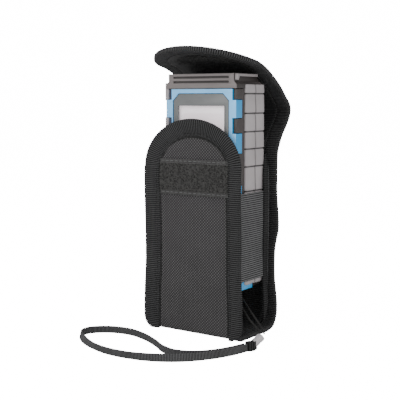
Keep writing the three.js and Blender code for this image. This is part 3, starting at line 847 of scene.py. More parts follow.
def stitch_row(name: str, path: Array, face: Array, length: float = 2.3 * MM, gap: float = 0.9 * MM,
               radius: float = 0.24 * MM) -> bpy.types.Object:
    """A row of sewn stitches in one mesh: each is a short thread that dips into the cloth at both ends.

    Each stitch is a ring of six points swept over seven stations; its height over the cloth is the
    square root of the sine of its way along, and its radius shrinks towards both ends.

    Args:
        name: the piece's name.
        path: the sewn line, dense.
        face: the cloth's outward direction at each of its points.
        length: one stitch.
        gap: between stitches.
        radius: the thread's.

    Returns:
        The object.
    """
    reach = lengths(path)
    total = int(reach[-1] // (length + gap))
    share = np.linspace(0, 1, 7)
    along = ((np.arange(total)[:, None] + 0.15) * (length + gap) + share[None, :] * length).ravel()
    spot, up = at_lengths(path, reach, along), unit(at_lengths(face, reach, along))
    way = unit(np.gradient(path, axis=0))
    side = unit(np.cross(at_lengths(way, reach, along), up))
    arch = np.tile(np.sqrt(np.sin(math.pi * np.clip(share, 0.01, 0.99))), total)
    angle = circle(6)
    size = radius * (0.35 + 0.65 * arch)
    centre = spot + up * (arch * radius * 0.9 - radius * 0.7)[:, None]
    rings = centre[:, None] + size[:, None, None] * (
        np.cos(angle)[None, :, None] * side[:, None] + np.sin(angle)[None, :, None] * up[:, None])
    points = rings.reshape(-1, 3)
    index = np.arange(total * 7 * 6).reshape(total, 7, 6)
    turn = np.roll(index, -1, axis=2)
    faces = np.stack([index[:, :-1], turn[:, :-1], turn[:, 1:], index[:, 1:]], -1).reshape(-1, 4)
    lids = np.stack([index[:, 0, [0, 1, 2, 3]], index[:, 0, [0, 3, 4, 5]],
                     index[:, -1, [3, 2, 1, 0]], index[:, -1, [5, 4, 3, 0]]], 1)
    faces = np.concatenate([faces, lids.reshape(-1, 4)[:, ::-1]])
    if outward(points[:42], faces[(faces < 42).all(axis=1)], points[:42].mean(axis=0)) < 0:
        faces = faces[:, ::-1]
    uv = np.stack([points[:, 0], points[:, 2]], -1)
    return make_mesh(name, points, faces, None, uv[faces], None)


def thicken(piece: bpy.types.Object, thickness: float, offset: float = -1.0) -> bpy.types.Object:
    """Gives an open surface its cloth thickness; offset -1 keeps the outer face, 0 the middle.

    Args:
        piece: the open surface.
        thickness: how thick it becomes.
        offset: where the surface lies in that thickness.

    Returns:
        The piece.
    """
    solid = piece.modifiers.new("thickness", "SOLIDIFY")
    solid.thickness = thickness
    solid.offset = offset
    solid.use_even_offset = False
    return piece


def softened(name: str, node: str, radius: float, segments: int = 2) -> bpy.types.Object:
    """A copy of a hard CAD node with its edges rounded.

    Args:
        name: the piece's name.
        node: the CAD node.
        radius: the width of the rounding.
        segments: how many faces the rounding has.

    Returns:
        The object.
    """
    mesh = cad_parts[node].data.copy()
    mesh.name = name
    work = bmesh.new()
    work.from_mesh(mesh)
    bmesh.ops.remove_doubles(work, verts=work.verts, dist=0.002 * MM)
    bmesh.ops.dissolve_limit(work, angle_limit=math.radians(2), verts=work.verts, edges=work.edges)
    work.to_mesh(mesh)
    work.free()
    mesh.polygons.foreach_set("use_smooth", np.ones(len(mesh.polygons), bool))
    piece = bpy.data.objects.new(name, mesh)
    bpy.context.scene.collection.objects.link(piece)
    bevel = piece.modifiers.new("rounding", "BEVEL")
    bevel.width = radius
    bevel.segments = segments
    bevel.limit_method = "ANGLE"
    bevel.angle_limit = math.radians(35)
    bevel.harden_normals = True
    return piece


# ---------------------------------------------------------------- studio and strap


@dataclass
class Studio:
    """Camera, pale floor and soft light."""

    eye: tuple[float, float, float] = (0.2955, -0.432, 0.1351)
    target: tuple[float, float, float] = (-0.0037, -0.0047, 0.0766)
    lens: float = 81.0
    floor_half: float = 40.0
    world_light: float = 0.62
    backdrop: float = 16.0
    floor_glow: float = 15.3

    def build(self) -> None:
        """Makes the camera, the floor and the lights."""
        camera = bpy.data.objects.new("camera", bpy.data.cameras.new("camera"))
        camera.data.lens = self.lens
        camera.data.clip_start = 0.01
        camera.location = self.eye
        camera.rotation_euler = (Vector(self.target) - Vector(self.eye)).to_track_quat("-Z", "Y").to_euler()
        bpy.context.scene.collection.objects.link(camera)
        bpy.context.scene.camera = camera
        self.add_floor()
        self.add_light("key_light", (-0.45, -0.85, 0.75), 0.7, 7.8)
        self.add_light("fill_light", (0.95, -0.45, 0.4), 0.8, 5.0)
        self.add_light("top_light", (0.1, 0.0, 1.1), 0.8, 3.0)
        self.add_world()
        LOG.info("studio: camera, floor and three lights")

    def add_world(self) -> None:
        """White surroundings: soft light for the object, brighter where they are seen directly."""
        world = bpy.data.worlds.new("studio")
        world.use_nodes = True
        tree = world.node_tree
        background = tree.nodes["Background"]
        background.inputs["Color"].default_value = (1.0, 1.0, 1.0, 1.0)
        seen = tree.nodes.new("ShaderNodeLightPath")
        level = tree.nodes.new("ShaderNodeMapRange")
        level.inputs["To Min"].default_value = self.world_light
        level.inputs["To Max"].default_value = self.backdrop
        tree.links.new(seen.outputs["Is Camera Ray"], level.inputs["Value"])
        tree.links.new(level.outputs[0], background.inputs["Strength"])
        bpy.context.scene.world = world

    def add_floor(self) -> None:
        """The floor is a plane: x across, y away."""
        across = np.linspace(-self.floor_half, self.floor_half, 5)
        x, y = np.meshgrid(across, across)
        points = np.stack([x, y, np.full_like(x, -0.02 * MM)], -1)
        floor = grid("floor", points, points[..., :2], (0.0, 0.0, -1.0))
        shader = Shader("floor_paper", roughness=0.9)
        tone = shader.noise(3.0)
        shader.drive("Base Color", shader.mix(tone, (0.93, 0.93, 0.93), (0.95, 0.95, 0.95)))
        seen = shader.out(shader.node("ShaderNodeLightPath"), "Is Camera Ray")
        shader.drive("Emission Color", shader.mix(seen, (0.0, 0.0, 0.0), (1.0, 1.0, 1.0)))
        shader.surface.inputs["Emission Strength"].default_value = self.floor_glow
        floor.data.materials.append(shader.material)

    def add_light(self, name: str, place: tuple[float, float, float], size: float, power: float) -> None:
        """One square area light that faces the object.

        Args:
            name: the light's name.
            place: where it stands, in metres.
            size: the side of its square, in metres.
            power: in watts.
        """
        lamp = bpy.data.lights.new(name, "AREA")
        lamp.size, lamp.energy = size, power
        light = bpy.data.objects.new(name, lamp)
        light.location = place
        light.rotation_euler = (Vector((0.0, 0.0, 0.08)) - Vector(place)).to_track_quat("-Z", "Y").to_euler()
        bpy.context.scene.collection.objects.link(light)


@dataclass
class WristStrap:
    """Webbing loop on the floor, its folded end, the crimp, and the string up to the lug."""

    width: float = 4.5 * MM
    thickness: float = 1.15 * MM
    height: float = 2.3 * MM
    string_radius: float = 0.5 * MM
    webbing_route: tuple = (
        (45.6, -31.2), (43, -42), (37.4, -54.5), (28.5, -66), (17, -73.8), (2, -78.5), (-14, -78.4),
        (-29, -73.5),
        (-41.5, -65.8), (-48.3, -59), (-48.6, -51.5), (-41, -44), (-28, -41), (-14, -44.6), (-1, -51.4),
        (10, -58.6), (20, -61.6), (29.6, -58.4), (36.8, -50.2), (41.2, -40.4), (43.6, -31))
    string_route: tuple = (
        (49.1, -18.9, 7.8), (44.5, -16.4, 11.8), (38, -13.4, 16.2), (31.5, -9.6, 20), (27.6, -7.4, 22.4),
        (25.4, -7.2, 23.6), (24.5, -9, 23.9), (25.4, -10.8, 23.2), (27.6, -11.2, 21.7), (31.6, -13, 18),
        (37.8, -16.2, 13.8), (43.8, -18.4, 10.4), (47.6, -19.7, 8.0))
    leans: tuple = ((0, 0), (0.05, 0.2), (0.19, 0.2), (0.27, -0.25), (0.38, -0.25), (0.45, 0.3), (0.51, 0.1),
                    (0.57, 0.2), (0.74, 0.2), (0.82, 0), (0.88, -0.2), (0.96, -0.2), (1, 0))
    crimp_start: tuple[float, float, float] = (48.2, -20.1, 6.7)
    crimp_end: tuple[float, float, float] = (45.8, -25.2, 2.8)
    fold_turns: tuple = (
        (-4.4, -0.5), (-3.3, -0.9), (-2.0, -1.5), (1.5, -1.6), (2.1, -1.0), (1.6, -0.4), (-1.5, -0.4),
        (-2.1, 0.2), (-1.5, 0.8), (1.4, 0.8), (2.1, 1.3), (1.5, 1.75), (-1.7, 1.75), (-3.2, 0.6), (-4.3, 0.0))
    fold_place: tuple[float, float, float] = (45.7, -28.2, 2.6)
    fold_heading: float = -2.0
    stretch_start: tuple[float, float, float] = (0.0292, -0.0105, 0.0213)
    stretch_end: tuple[float, float, float] = (0.0245, -0.009, 0.0239)

    def build(self, dresser: Dresser) -> None:
        """Args:
            dresser: gives the pieces their finish and body.
        """
        fold = dresser.dress(self.fold_mesh(), Slot.BELT, "pouch", "strap_fold")
        crimp = dresser.dress(self.crimp_mesh(), Slot.CRIMP, "pouch", "strap_crimp")
        flat = spline(self.webbing_route) * MM
        path = even(np.column_stack([flat, np.full(len(flat), self.height)]), 1.0 * MM)
        webbing = dresser.dress(self.webbing_mesh(path), Slot.STRAP, "pouch", "strap_webbing")
        line = even(spline(self.string_route) * MM, 0.25 * MM)
        string = dresser.dress(self.string_mesh(line), Slot.STRING, None, "strap_string")
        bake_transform(string)

    def webbing_mesh(self, path: Array) -> bpy.types.Object:
        """The webbing on edge: a flattened ring with thick selvedges, carried along the path.

        Ribs are half waves of 0.8 mm; the band twists slowly, by the leans listed along its length.

        Args:
            path: its centreline.

        Returns:
            The object.
        """
        path = even(path, 0.2 * MM)
        reach = lengths(path)
        side = unit(np.cross(np.gradient(path, axis=0), (0.0, 0.0, 1.0)))
        lean = np.interp(reach / reach[-1], *zip(*self.leans)) + 0.05 * np.sin(reach / 0.017 + 1)
        up = unit(np.array([0.0, 0.0, 1.0]) + side * lean[:, None])
        across = unit(np.cross(up, np.gradient(path, axis=0)))
        angle = circle(20)
        cosine, sine = np.cos(angle), np.sin(angle)
        tall = squared(cosine, 0.55) * (self.width / 2 - 0.05 * MM)
        thick = squared(sine, 0.45) * self.thickness / 2 * (0.86 + 0.14 * (tall / tall.max()) ** 4)
        rib = 0.07 * MM * (np.abs(np.sin(math.pi * reach / (0.8 * MM))) - 0.5)
        raised = thick[None, :] + np.sign(sine)[None, :] * rib[:, None]
        points = path[:, None] + up[:, None] * tall[None, :, None] + across[:, None] * raised[..., None]
        around = np.append(tall, tall[0])
        uv = chart(around, reach)
        return tube("wrist_webbing", points, uv)

    def fold_mesh(self) -> bpy.types.Object:
        """The webbing's end folded back on itself three times: one long flat strip that winds in a tight S.

        Returns:
            The object.
        """
        flat = even(spline(self.fold_turns, 20) * MM, 0.15 * MM)
        cosine, sine = math.cos(self.fold_heading), math.sin(self.fold_heading)
        x0, y0, z0 = self.fold_place
        x = x0 * MM + flat[:, 0] * cosine - flat[:, 1] * sine
        y = y0 * MM + flat[:, 0] * sine + flat[:, 1] * cosine
        path = np.column_stack([x, y, np.full(len(x), z0 * MM)])
        side = unit(np.cross(np.gradient(path, axis=0), (0.0, 0.0, 1.0)))
        angle = circle(16)
        tall = squared(np.cos(angle), 0.5) * 2.5 * MM
        thick = squared(np.sin(angle), 0.5) * 0.42 * MM
        points = path[:, None] + side[:, None] * thick[None, :, None]
        points[..., 2] += tall[None, :]
        uv = chart(np.append(tall, tall[0]), lengths(path))
        return tube("webbing_fold", points, uv)

    def crimp_mesh(self) -> bpy.types.Object:
        """The moulded clip: a rounded box ring whose size is pinched in the middle, along the crimp's line.

        Returns:
            The object.
        """
        start, end = np.array(self.crimp_start) * MM, np.array(self.crimp_end) * MM
        way = unit(end - start)
        side = unit(np.cross(way, (0.0, 0.0, 1.0)))
        up = np.cross(side, way)
        share = np.concatenate([[0.0, 0.0, 0.03, 0.08], np.linspace(0.14, 0.86, 22), [0.92, 0.97, 1.0, 1.0]])
        size = np.interp(share, [0, 0.03, 0.08, 0.14, 0.4, 0.5, 0.6, 0.86, 0.92, 0.97, 1],
                         [0.8, 0.9, 0.97, 1, 1, 0.93, 1, 1, 0.97, 0.9, 0.8])
        size[[0, -1]] = 0.35
        angle = circle(40)
        wide = squared(np.cos(angle), 0.45) * 2.3 * MM
        deep = squared(np.sin(angle), 0.45) * 1.8 * MM
        centre = start + (end - start) * share[:, None]
        ring = side[None] * wide[:, None] + up[None] * deep[:, None]
        points = centre[:, None] + ring[None] * size[:, None, None]
        around = np.append(angle, 2 * math.pi) * 2 * MM
        uv = chart(around, share * 7 * MM)
        return tube("string_crimp", points, uv)

    def string_mesh(self, line: Array) -> bpy.types.Object:
        """The string: a ring whose radius bulges in three twisted strands.

        Args:
            line: its centreline.

        Returns:
            The object.
        """
        way = unit(np.gradient(line, axis=0))
        side = unit(np.cross(way, (0.3, -0.2, 1.0)))
        up = np.cross(side, way)
        reach = lengths(line)
        angle = circle(12)
        twist = 1.5 * angle[None, :] + reach[:, None] / (0.9 * MM)
        size = self.string_radius * (0.93 + 0.1 * np.abs(np.sin(twist)))
        ring = np.cos(angle)[None, :, None] * side[:, None] + np.sin(angle)[None, :, None] * up[:, None]
        points = line[:, None] + ring * size[..., None]
        uv = chart(np.append(angle, 2 * math.pi) * 0.5 * MM, reach)
        return tube("wrist_string", points, uv)


# ---------------------------------------------------------------- pouch


@dataclass
class ClothRun:
    """The long strip of cloth under, behind and over the instrument.

    Its middle is a curve in y and z whose length is the measure w; the edges of the flap hang lower than
    its middle by the square of x.
    """

    half_width: float = 33.0 * MM
    inner: float = 23.5 * MM
    droop: float = 2.6 * MM
    middle: tuple = (
        (-16.2, 1.5), (-6, 1.5), (4, 1.5), (13, 1.5), (18.3, 3.2), (21.3, 8), (21.8, 14), (20.6, 22),
        (18.9, 31), (19, 47), (20.6, 53), (23, 59), (22.6, 68), (21.1, 78), (20.8, 95), (21.3, 104.5),
        (23, 108.9), (26.6, 115), (31.4, 120.6), (35.2, 126.6), (35.4, 130.6), (30.2, 136.2),
        (23, 142.9), (14, 149), (6, 153.7), (-1, 156.9),
        (-8.7, 158.9), (-16.4, 160.6), (-24.1, 162.2), (-31.8, 163.6))
    curve: Array = field(init=False)
    reach: Array = field(init=False)

    def __post_init__(self) -> None:
        """Works out the curve once."""
        self.curve = spline(self.middle, 30) * MM
        self.reach = lengths(self.curve)

    def measure(self, y: float, z: float) -> float:
        """The measure w of the curve's point nearest to y and z, in mm."""
        gaps = np.linalg.norm(self.curve - np.array([y, z]) * MM, axis=1)
        return float(self.reach[int(np.argmin(gaps))])

    def place(self, x: Array, w: Array, rise: float = 0.0) -> Array:
        """Points on the strip.

        Args:
            x: across, in metres.
            w: along, in metres.
            rise: how far to lift them off the middle, away from the instrument.

        Returns:
            The points, with x, y and z last.
        """
        x, w = np.broadcast_arrays(x, w)
        y, z = (np.interp(w, self.reach, self.curve[:, axis]) for axis in (0, 1))
        slope = unit(np.gradient(self.curve, self.reach, axis=0))
        turn_y, turn_z = (np.interp(w, self.reach, slope[:, axis]) for axis in (0, 1))
        start, fold, end = (self.measure(*spot) for spot in ((30.5, 120.8), (14, 149), (-8.7, 158.9)))
        slight = np.clip((w - start) / (fold - start), 0, 1)
        full = np.clip((w - fold) / (end - fold), 0, 1)
        amount = 0.25 * slight * slight * (3 - 2 * slight) + 0.75 * full * full * (3 - 2 * full)
        hang = self.droop * amount * (x / self.half_width) ** 2
        return np.stack([x, y + turn_z * rise, z - turn_y * rise - hang], -1)


@dataclass
class Pouch:
    """The belt pouch: front, base and back, elastics, belt loop and flap."""

    run: ClothRun = field(default_factory=ClothRun)
    tape: Tape = field(default_factory=Tape)
    cloth: float = 2.2 * MM
    front_y: float = -18.6 * MM
    spring: float = 96.0 * MM
    top: float = 124.0 * MM
    inner_top: float = 114.5 * MM
    corner: float = 8.0 * MM
    tip_from: float = 2.0 * MM
    tip_length: float = 26.0 * MM
    tip_inner: float = 17.1 * MM
    lining_rise: float = -1.3 * MM
    loop_middle: tuple = (
        (23.0, 104), (23.3, 99.5), (25.4, 95.5), (28.6, 91), (31, 84), (31.4, 74), (30.4, 63), (27.4, 55.5),
        (24.2, 50.6), (21.8, 46.5), (21.1, 42.5))
    under_roll: tuple = ((-15.6, 1.0), (-17.2, 1.0), (-18.3, 2.0), (-18.6, 4.5))
    panel_half: float = 24.4 * MM
    lining: float = 0.35 * MM
    lean: float = 1.3 * MM

    def build(self, dresser: Dresser) -> None:
        """Makes every fabric piece.

        Args:
            dresser: gives the pieces their finish and body.
        """
        self.build_front(dresser)
        self.build_loop_strip(dresser)
        self.build_back(dresser)
        self.build_flap(dresser)
        self.build_elastics(dresser)
        self.build_gusset_edges(dresser)
        self.build_belt_loop(dresser)

    def bulge(self, x: Array, z: Array) -> Array:
        """How far the front panel stands forward: a cosine across times a sine up, with slow folds.

        Args:
            x: across.
            z: up.

        Returns:
            How far forward, for each point.
        """
        across = np.cos(np.clip(x / (25 * MM), -1, 1) * math.pi / 2) ** 0.8
        up = np.sin(np.clip(z / (112 * MM), 0, 1) * math.pi) ** 0.5
        folds = ripple(np.stack([x, z * 0.6, 0 * z], -1), 0.16 * MM, 26 * MM, 4)
        return 0.5 * MM * across * up + folds * across

    def build_front(self, dresser: Dresser) -> None:
        """The arched front panel, whose lower edge rolls under, with its tape and sewn line, and a dark roll
        of painted shade along the tape's inner edge.

        Args:
            dresser: gives the pieces their finish and body.
        """
        roll = even(spline(self.under_roll, 12) * MM, 0.6 * MM)
        straight = np.linspace(5.5 * MM, self.spring, 90)
        arch = self.spring + 22 * MM * np.sin(np.linspace(0.02, 1, 32) * math.pi / 2)
        z = np.concatenate([roll[:, 1], straight, arch])
        y = np.concatenate([roll[:, 0], np.full(len(straight) + len(arch), self.front_y)])
        share = np.clip((z - self.spring) / (22.02 * MM), 0, 1)
        half = 26.5 * MM * np.sqrt(1 - share ** 2)
        across = np.linspace(-1, 1, 61)
        x = across[None, :] * half[:, None]
        height = np.broadcast_to(z[:, None], x.shape)
        forward = self.bulge(x, height) * np.clip(height / (8 * MM), 0, 1)
        points = np.stack([x, y[:, None] - forward, height], -1)
        along = lengths(np.stack([y, z], -1))
        uv = np.stack([x, np.broadcast_to(along[:, None], x.shape)], -1)
        panel = thicken(grid("front_cloth", points, uv), self.cloth)
        dresser.dress(panel, Slot.CLOTH, "pouch", "front_panel")
        inner, outer = self.front_rails()
        binding = self.tape.build("front_tape", inner, outer)
        dresser.dress(binding, Slot.BINDING, "pouch", "front_binding")
        middle, half_vector = (inner + outer) / 2, (outer - inner) / 2
        line = middle + half_vector * self.tape.sewn_line
        line = line - np.array([0, self.tape.thickness / 2 - 0.62 * MM, 0])
        face = np.tile([0.0, -1.0, 0.0], (len(line), 1))
        keep = line[:, 2] > 3 * MM
        stitches = stitch_row("front_stitches", line[keep], face[keep])
        dresser.dress(stitches, Slot.BELT, "pouch")
        # Painted shade: a thin near-black roll along the tape's inner edge stands for the shade between tape
        # and panel.
        painted_shade_roll = even(inner - half_vector * 0.12 - np.array([0, 0.25 * MM, 0]), 0.7 * MM)
        painted_shade_roll = painted_shade_roll[painted_shade_roll[:, 2] > 2 * MM]
        dresser.dress(self.roll_mesh("front_painted_shade_roll", painted_shade_roll, 0.55 * MM), Slot.HOOK, "pouch")

    def front_rails(self) -> tuple[Array, Array]:
        """The tape's rails round the front: up one side, over a half ellipse, down the other.

        Returns:
            The inner and the outer rail.
        """
        up = np.linspace(0.4 * MM, self.spring, 200)
        turn = np.linspace(math.pi, 0, 260)
        short = self.corner - np.minimum(up, self.corner)
        round_off = self.corner - np.sqrt(np.maximum(self.corner ** 2 - short ** 2, 0))
        sway = 0.35 * MM * np.sin(up / (17 * MM)) + 0.2 * MM * np.sin(up / (9 * MM) + 1)
        flare = np.clip((44 * MM - up) / (32 * MM), 0, 1)
        flare = 1.5 * MM * flare * flare * (3 - 2 * flare)
        y = self.front_y + 0.3 * MM
        rails = []
        for half, top, cut in ((self.run.inner, self.inner_top, 0), (self.run.half_width, self.top, 1)):
            side = half - round_off * cut
            height = top - self.spring
            left = np.stack([-side + sway - flare, np.full(200, y), up], -1)
            over = np.stack([half * np.cos(turn), np.full(260, y), self.spring + height * np.sin(turn)], -1)
            right = np.stack([side + sway * 0.6 + flare * 0.5, np.full(200, y), up], -1)
            rails.append(np.concatenate([left, over[1:-1], right[::-1]]))
        return rails[0] + (self.lean, 0.0, 0.0), rails[1]

    def roll_mesh(self, name: str, path: Array, radius: float) -> bpy.types.Object:
        """A thin round roll along a path that stays upright in y; its rings keep y as one direction.

        Args:
            name: the piece's name.
            path: its centreline.
            radius: half its thickness.

        Returns:
            The object.
        """
        way = unit(np.gradient(path, axis=0))
        deep = np.array([0.0, 1.0, 0.0])
        side = unit(np.cross(way, deep))
        angle = circle(12)
        ring = np.cos(angle)[None, :, None] * side[:, None] + np.sin(angle)[None, :, None] * deep
        points = path[:, None] + ring * radius
        uv = chart(np.append(angle, 2 * math.pi) * radius, lengths(path))
        return tube(name, points, uv)

    def fuzz(self, points: Array, size: float, seed: int) -> Array:
        """Seeded random height for each point of a pile, the larger of two throws."""
        dice = np.random.default_rng(seed)
        return np.maximum(*dice.uniform(0, size, (2,) + points.shape[:2]))

    def build_loop_strip(self, dresser: Dresser) -> None:
        """The fuzzy strip across the front, its woven edges flat and sewn down.

        Args:
            dresser: gives the pieces their finish and body.
        """
        half = self.run.inner + 0.4 * MM
        x = np.linspace(1.3 * MM - half, half, 190) + self.lean
        z = np.linspace(80.8 * MM, 101.2 * MM, 88)
        across, height = np.meshgrid(x, z)
        middle = 91 * MM
        pile = np.clip((8.4 * MM - np.abs(height - middle)) / (0.8 * MM), 0, 1)
        lift = 0.35 * MM + pile * (0.3 * MM + self.fuzz(across, 0.55 * MM, 11))
        y = self.front_y - self.bulge(across, height) - 0.25 * MM - lift
        uv = np.stack([height - middle, across], -1)
        strip = thicken(grid("loop_strip_pile", np.stack([across, y, height], -1), uv), 0.8 * MM)
        dresser.dress(strip, Slot.LOOP, "pouch", "loop_strip")
        for name, level in (("lower", 82.0 * MM), ("upper", 100.0 * MM)):
            line_x = np.linspace(1.6 * MM - half, half - 0.3 * MM, 200) + self.lean
            line_z = np.full(200, level)
            line_y = self.front_y - self.bulge(line_x, line_z) - 0.62 * MM
            face = np.tile([0.0, -1.0, 0.0], (200, 1))
            row = stitch_row(f"loop_strip_stitches_{name}", np.stack([line_x, line_y, line_z], -1), face)
            dresser.dress(row, Slot.ELASTIC, "pouch")

    def strip(self, name: str, low: float, high: float, seed: int, rise: float = 0.0) -> bpy.types.Object:
        """A stretch of the run's cloth, or of the thin lining inside it.

        Args:
            name: the piece's name.
            low: where it starts along the run.
            high: where it ends.
            seed: picks its folds.
            rise: how far off the run's middle it lies; not 0 for the lining.

        Returns:
            The object.
        """
        w = np.linspace(low, high, max(8, int((high - low) / (1.2 * MM))))
        x = np.linspace(-self.panel_half, self.panel_half, 49)
        across, along = np.meshgrid(x, w)
        points = self.run.place(across, along, rise)
        ends = np.clip(np.minimum(along - low, high - along) / (6 * MM), 0, 1)
        inward = np.cos(np.clip(across / self.panel_half, -1, 1) * math.pi / 2)
        folds = ripple(points, 0.3 * MM, 30 * MM, seed) * ends * inward
        normal = unit(np.cross(np.gradient(points, axis=1), np.gradient(points, axis=0)))
        points = points + normal * folds[..., None]
        thickness = self.lining if rise else self.cloth
        return thicken(grid(name, points, np.stack([across, along], -1)), thickness, 0.0)

    def edge_tape(self, name: str, low: float, high: float, side: int) -> bpy.types.Object:
        """The tape on one edge of a stretch of the run; side is -1 for left, 1 for right.

        Args:
            name: the piece's name.
            low: where it starts along the run.
            high: where it ends.
            side: which edge.

        Returns:
            The object.
        """
        w = np.linspace(low, high, 400)
        inner = self.run.place(np.full(400, side * self.run.inner), w)
        outer = self.run.place(np.full(400, side * self.run.half_width), w)
        return self.tape.build(name, inner, outer)

    def build_back(self, dresser: Dresser) -> None:
        """Base and back up to the middle of the neck: the cloth bends at the lower crease.

        Args:
            dresser: gives the pieces their finish and body.
        """
        low, high = 0.0, self.run.measure(27.9, 118)
        cloth = dresser.dress(self.strip("back_cloth", low, high, 21), Slot.CLOTH, None, "spine_panel")
        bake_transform(cloth)
        inside = self.strip("back_lining", low, high, 21, self.lining_rise)
        lining = dresser.dress(inside, Slot.BELT, None)
        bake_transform(lining)
        for name, side in (("left", -1), ("right", 1)):
            tape = self.edge_tape(f"back_tape_{name}", low, high, side)
            dresser.dress(tape, Slot.BINDING, None, f"spine_binding_{name}")
            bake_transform(tape)

    def build_flap(self, dresser: Dresser) -> None:
        """Neck and flap round the upper crease, then the arched tip round its fold.

        Args:
            dresser: gives the pieces their finish and body.
        """
        neck, middle = self.run.measure(27.9, 118), self.run.measure(10, 151.3)
        panel = self.strip("neck_cloth", neck, middle, 22)
        cloth = dresser.dress(panel, Slot.CLOTH, None, "spine_neck", "flap_panel")
        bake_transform(cloth)
        inside = self.strip("neck_lining", neck, middle, 22, self.lining_rise)
        lining = dresser.dress(inside, Slot.BELT, None)
        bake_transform(lining)
        for name, side in (("left", -1), ("right", 1)):
            tape = self.edge_tape(f"neck_tape_{name}", neck, middle, side)
            dresser.dress(tape, Slot.BINDING, None, f"flap_binding_{name}")
            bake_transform(tape)
        self.build_tip(dresser, middle)

    def build_tip(self, dresser: Dresser, middle: float) -> None:
        """The flap's front half with its arch, the tape round it, the hook patch and the sewn line.

        Args:
            dresser: gives the pieces their finish and body.
            middle: where the neck cloth ends along the run.
        """
        base = self.run.measure(-1, 156.9) + self.tip_from
        arch = base + 18.6 * MM * np.sin(np.linspace(0, 1, 26) * math.pi / 2)
        rows = np.concatenate([np.linspace(middle, base, 16)[:-1], arch])
        share = np.clip((rows - base) / (18.62 * MM), 0, 1)
        half = self.panel_half * np.sqrt(1 - share ** 2)
        x = np.linspace(-1, 1, 49)[None, :] * half[:, None]
        along = np.broadcast_to(rows[:, None], x.shape)
        uv = np.stack([x, along], -1)
        cloth = thicken(grid("flap_cloth", self.run.place(x, along), uv), self.cloth, 0.0)
        dresser.dress(cloth, Slot.CLOTH, None, "flap_tip_panel")
        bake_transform(cloth)
        inside = self.run.place(x, along, self.lining_rise)
        lining = thicken(grid("flap_lining", inside, uv), self.lining, 0.0)
        dresser.dress(lining, Slot.BELT, None)
        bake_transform(lining)
        inner, outer = (self.tip_rail(middle, base, a, b) for a, b in (
            (self.run.inner, self.tip_inner), (self.run.half_width, self.tip_length)))
        binding = self.tape.build("flap_tape", inner, outer)
        tape = dresser.dress(binding, Slot.BINDING, None, "flap_tip_binding")
        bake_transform(tape)
        half_vector = (outer - inner) / 2
        line = (inner + outer) / 2 + half_vector * self.tape.sewn_line
        way = np.gradient(line, axis=0)
        face = unit(np.cross(half_vector, way))
        face = face * np.sign(face[:, 2:3])
        for name, side in (("over", 1), ("under", -1)):
            offset = line + face * side * (self.tape.thickness / 2 - 0.62 * MM)
            row = dresser.dress(stitch_row(f"flap_stitches_{name}", offset, face * side), Slot.BELT, None)
            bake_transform(row)
        self.build_hook_patch(dresser, base)

    def tip_rail(self, middle: float, base: float, half: float, length: float) -> Array:
        """One rail of the arched tape: forward along the left edge, a half ellipse, back along the right.

        Args:
            middle: where the rail starts along the run.
            base: where the arch starts.
            half: half the arch's width.
            length: how far the arch reaches.

        Returns:
            The rail's points.
        """
        straight = np.linspace(middle, base, 60)[:-1]
        turn = np.linspace(math.pi, 0, 240)
        x = np.concatenate([np.full(59, -half), half * np.cos(turn), np.full(59, half)])
        w = np.concatenate([straight, base + length * np.sin(turn), straight[::-1]])
        return self.run.place(x, w)

    def build_hook_patch(self, dresser: Dresser, base: float) -> None:
        """The rough patch under the tip: a half ellipse of short bristles.

        Args:
            dresser: gives the pieces their finish and body.
            base: where the arch starts along the run.
        """
        share = np.sin(np.linspace(0, 0.995, 60) * math.pi / 2)
        half = 18.5 * MM * np.sqrt(1 - share ** 2)
        x = np.linspace(-1, 1, 150)[None, :] * half[:, None]
        along = np.broadcast_to((base + 0.4 * MM + share * 13.5 * MM)[:, None], x.shape)
        under = self.run.place(x, along, -self.cloth / 2)
        lift = 0.3 * MM + self.fuzz(x, 0.6 * MM, 12)
        points = under - np.stack([0 * x, 0.28 * lift, 0.96 * lift], -1)
        uv = np.stack([x, along], -1)
        patch = thicken(grid("hook_patch_bristle", points, uv, (0, -0.01, 0.3)), 0.8 * MM)
        dresser.dress(patch, Slot.HOOK, "flap_tip", "hook_patch")

    def build_elastics(self, dresser: Dresser) -> None:
        """The ribbed elastic gussets: each bows out by a cosine, with a half wave for each rib.

        Args:
            dresser: gives the pieces their finish and body.
        """
        for name, side, x0 in (("left", -1, -24.1), ("right", 1, 28.9)):
            y = np.linspace(-16.4 * MM, 12.6 * MM, 34)
            z = np.linspace(32.4 * MM, 82.4 * MM, 42 * 5 + 1)
            deep, height = np.meshgrid(y, z)
            rib = np.abs(np.sin(math.pi * (height - z[0]) / (1.2 * MM))) ** 0.7
            bow = 0.45 * MM * np.cos((deep + 1.9 * MM) / (29 * MM) * math.pi)
            sag = ripple(np.stack([deep, height, 0 * deep], -1), 0.12 * MM, 24 * MM, 31)
            x = x0 * MM + side * (bow + 0.16 * MM * rib + sag)
            points = np.stack([x, deep, height], -1)
            uv = np.stack([deep, height - z[0]], -1)
            web = thicken(grid(f"elastic_web_{name}", points, uv, (0, 0, 0.06)), 1.3 * MM)
            dresser.dress(web, Slot.ELASTIC, "pouch", f"elastic_{name}")

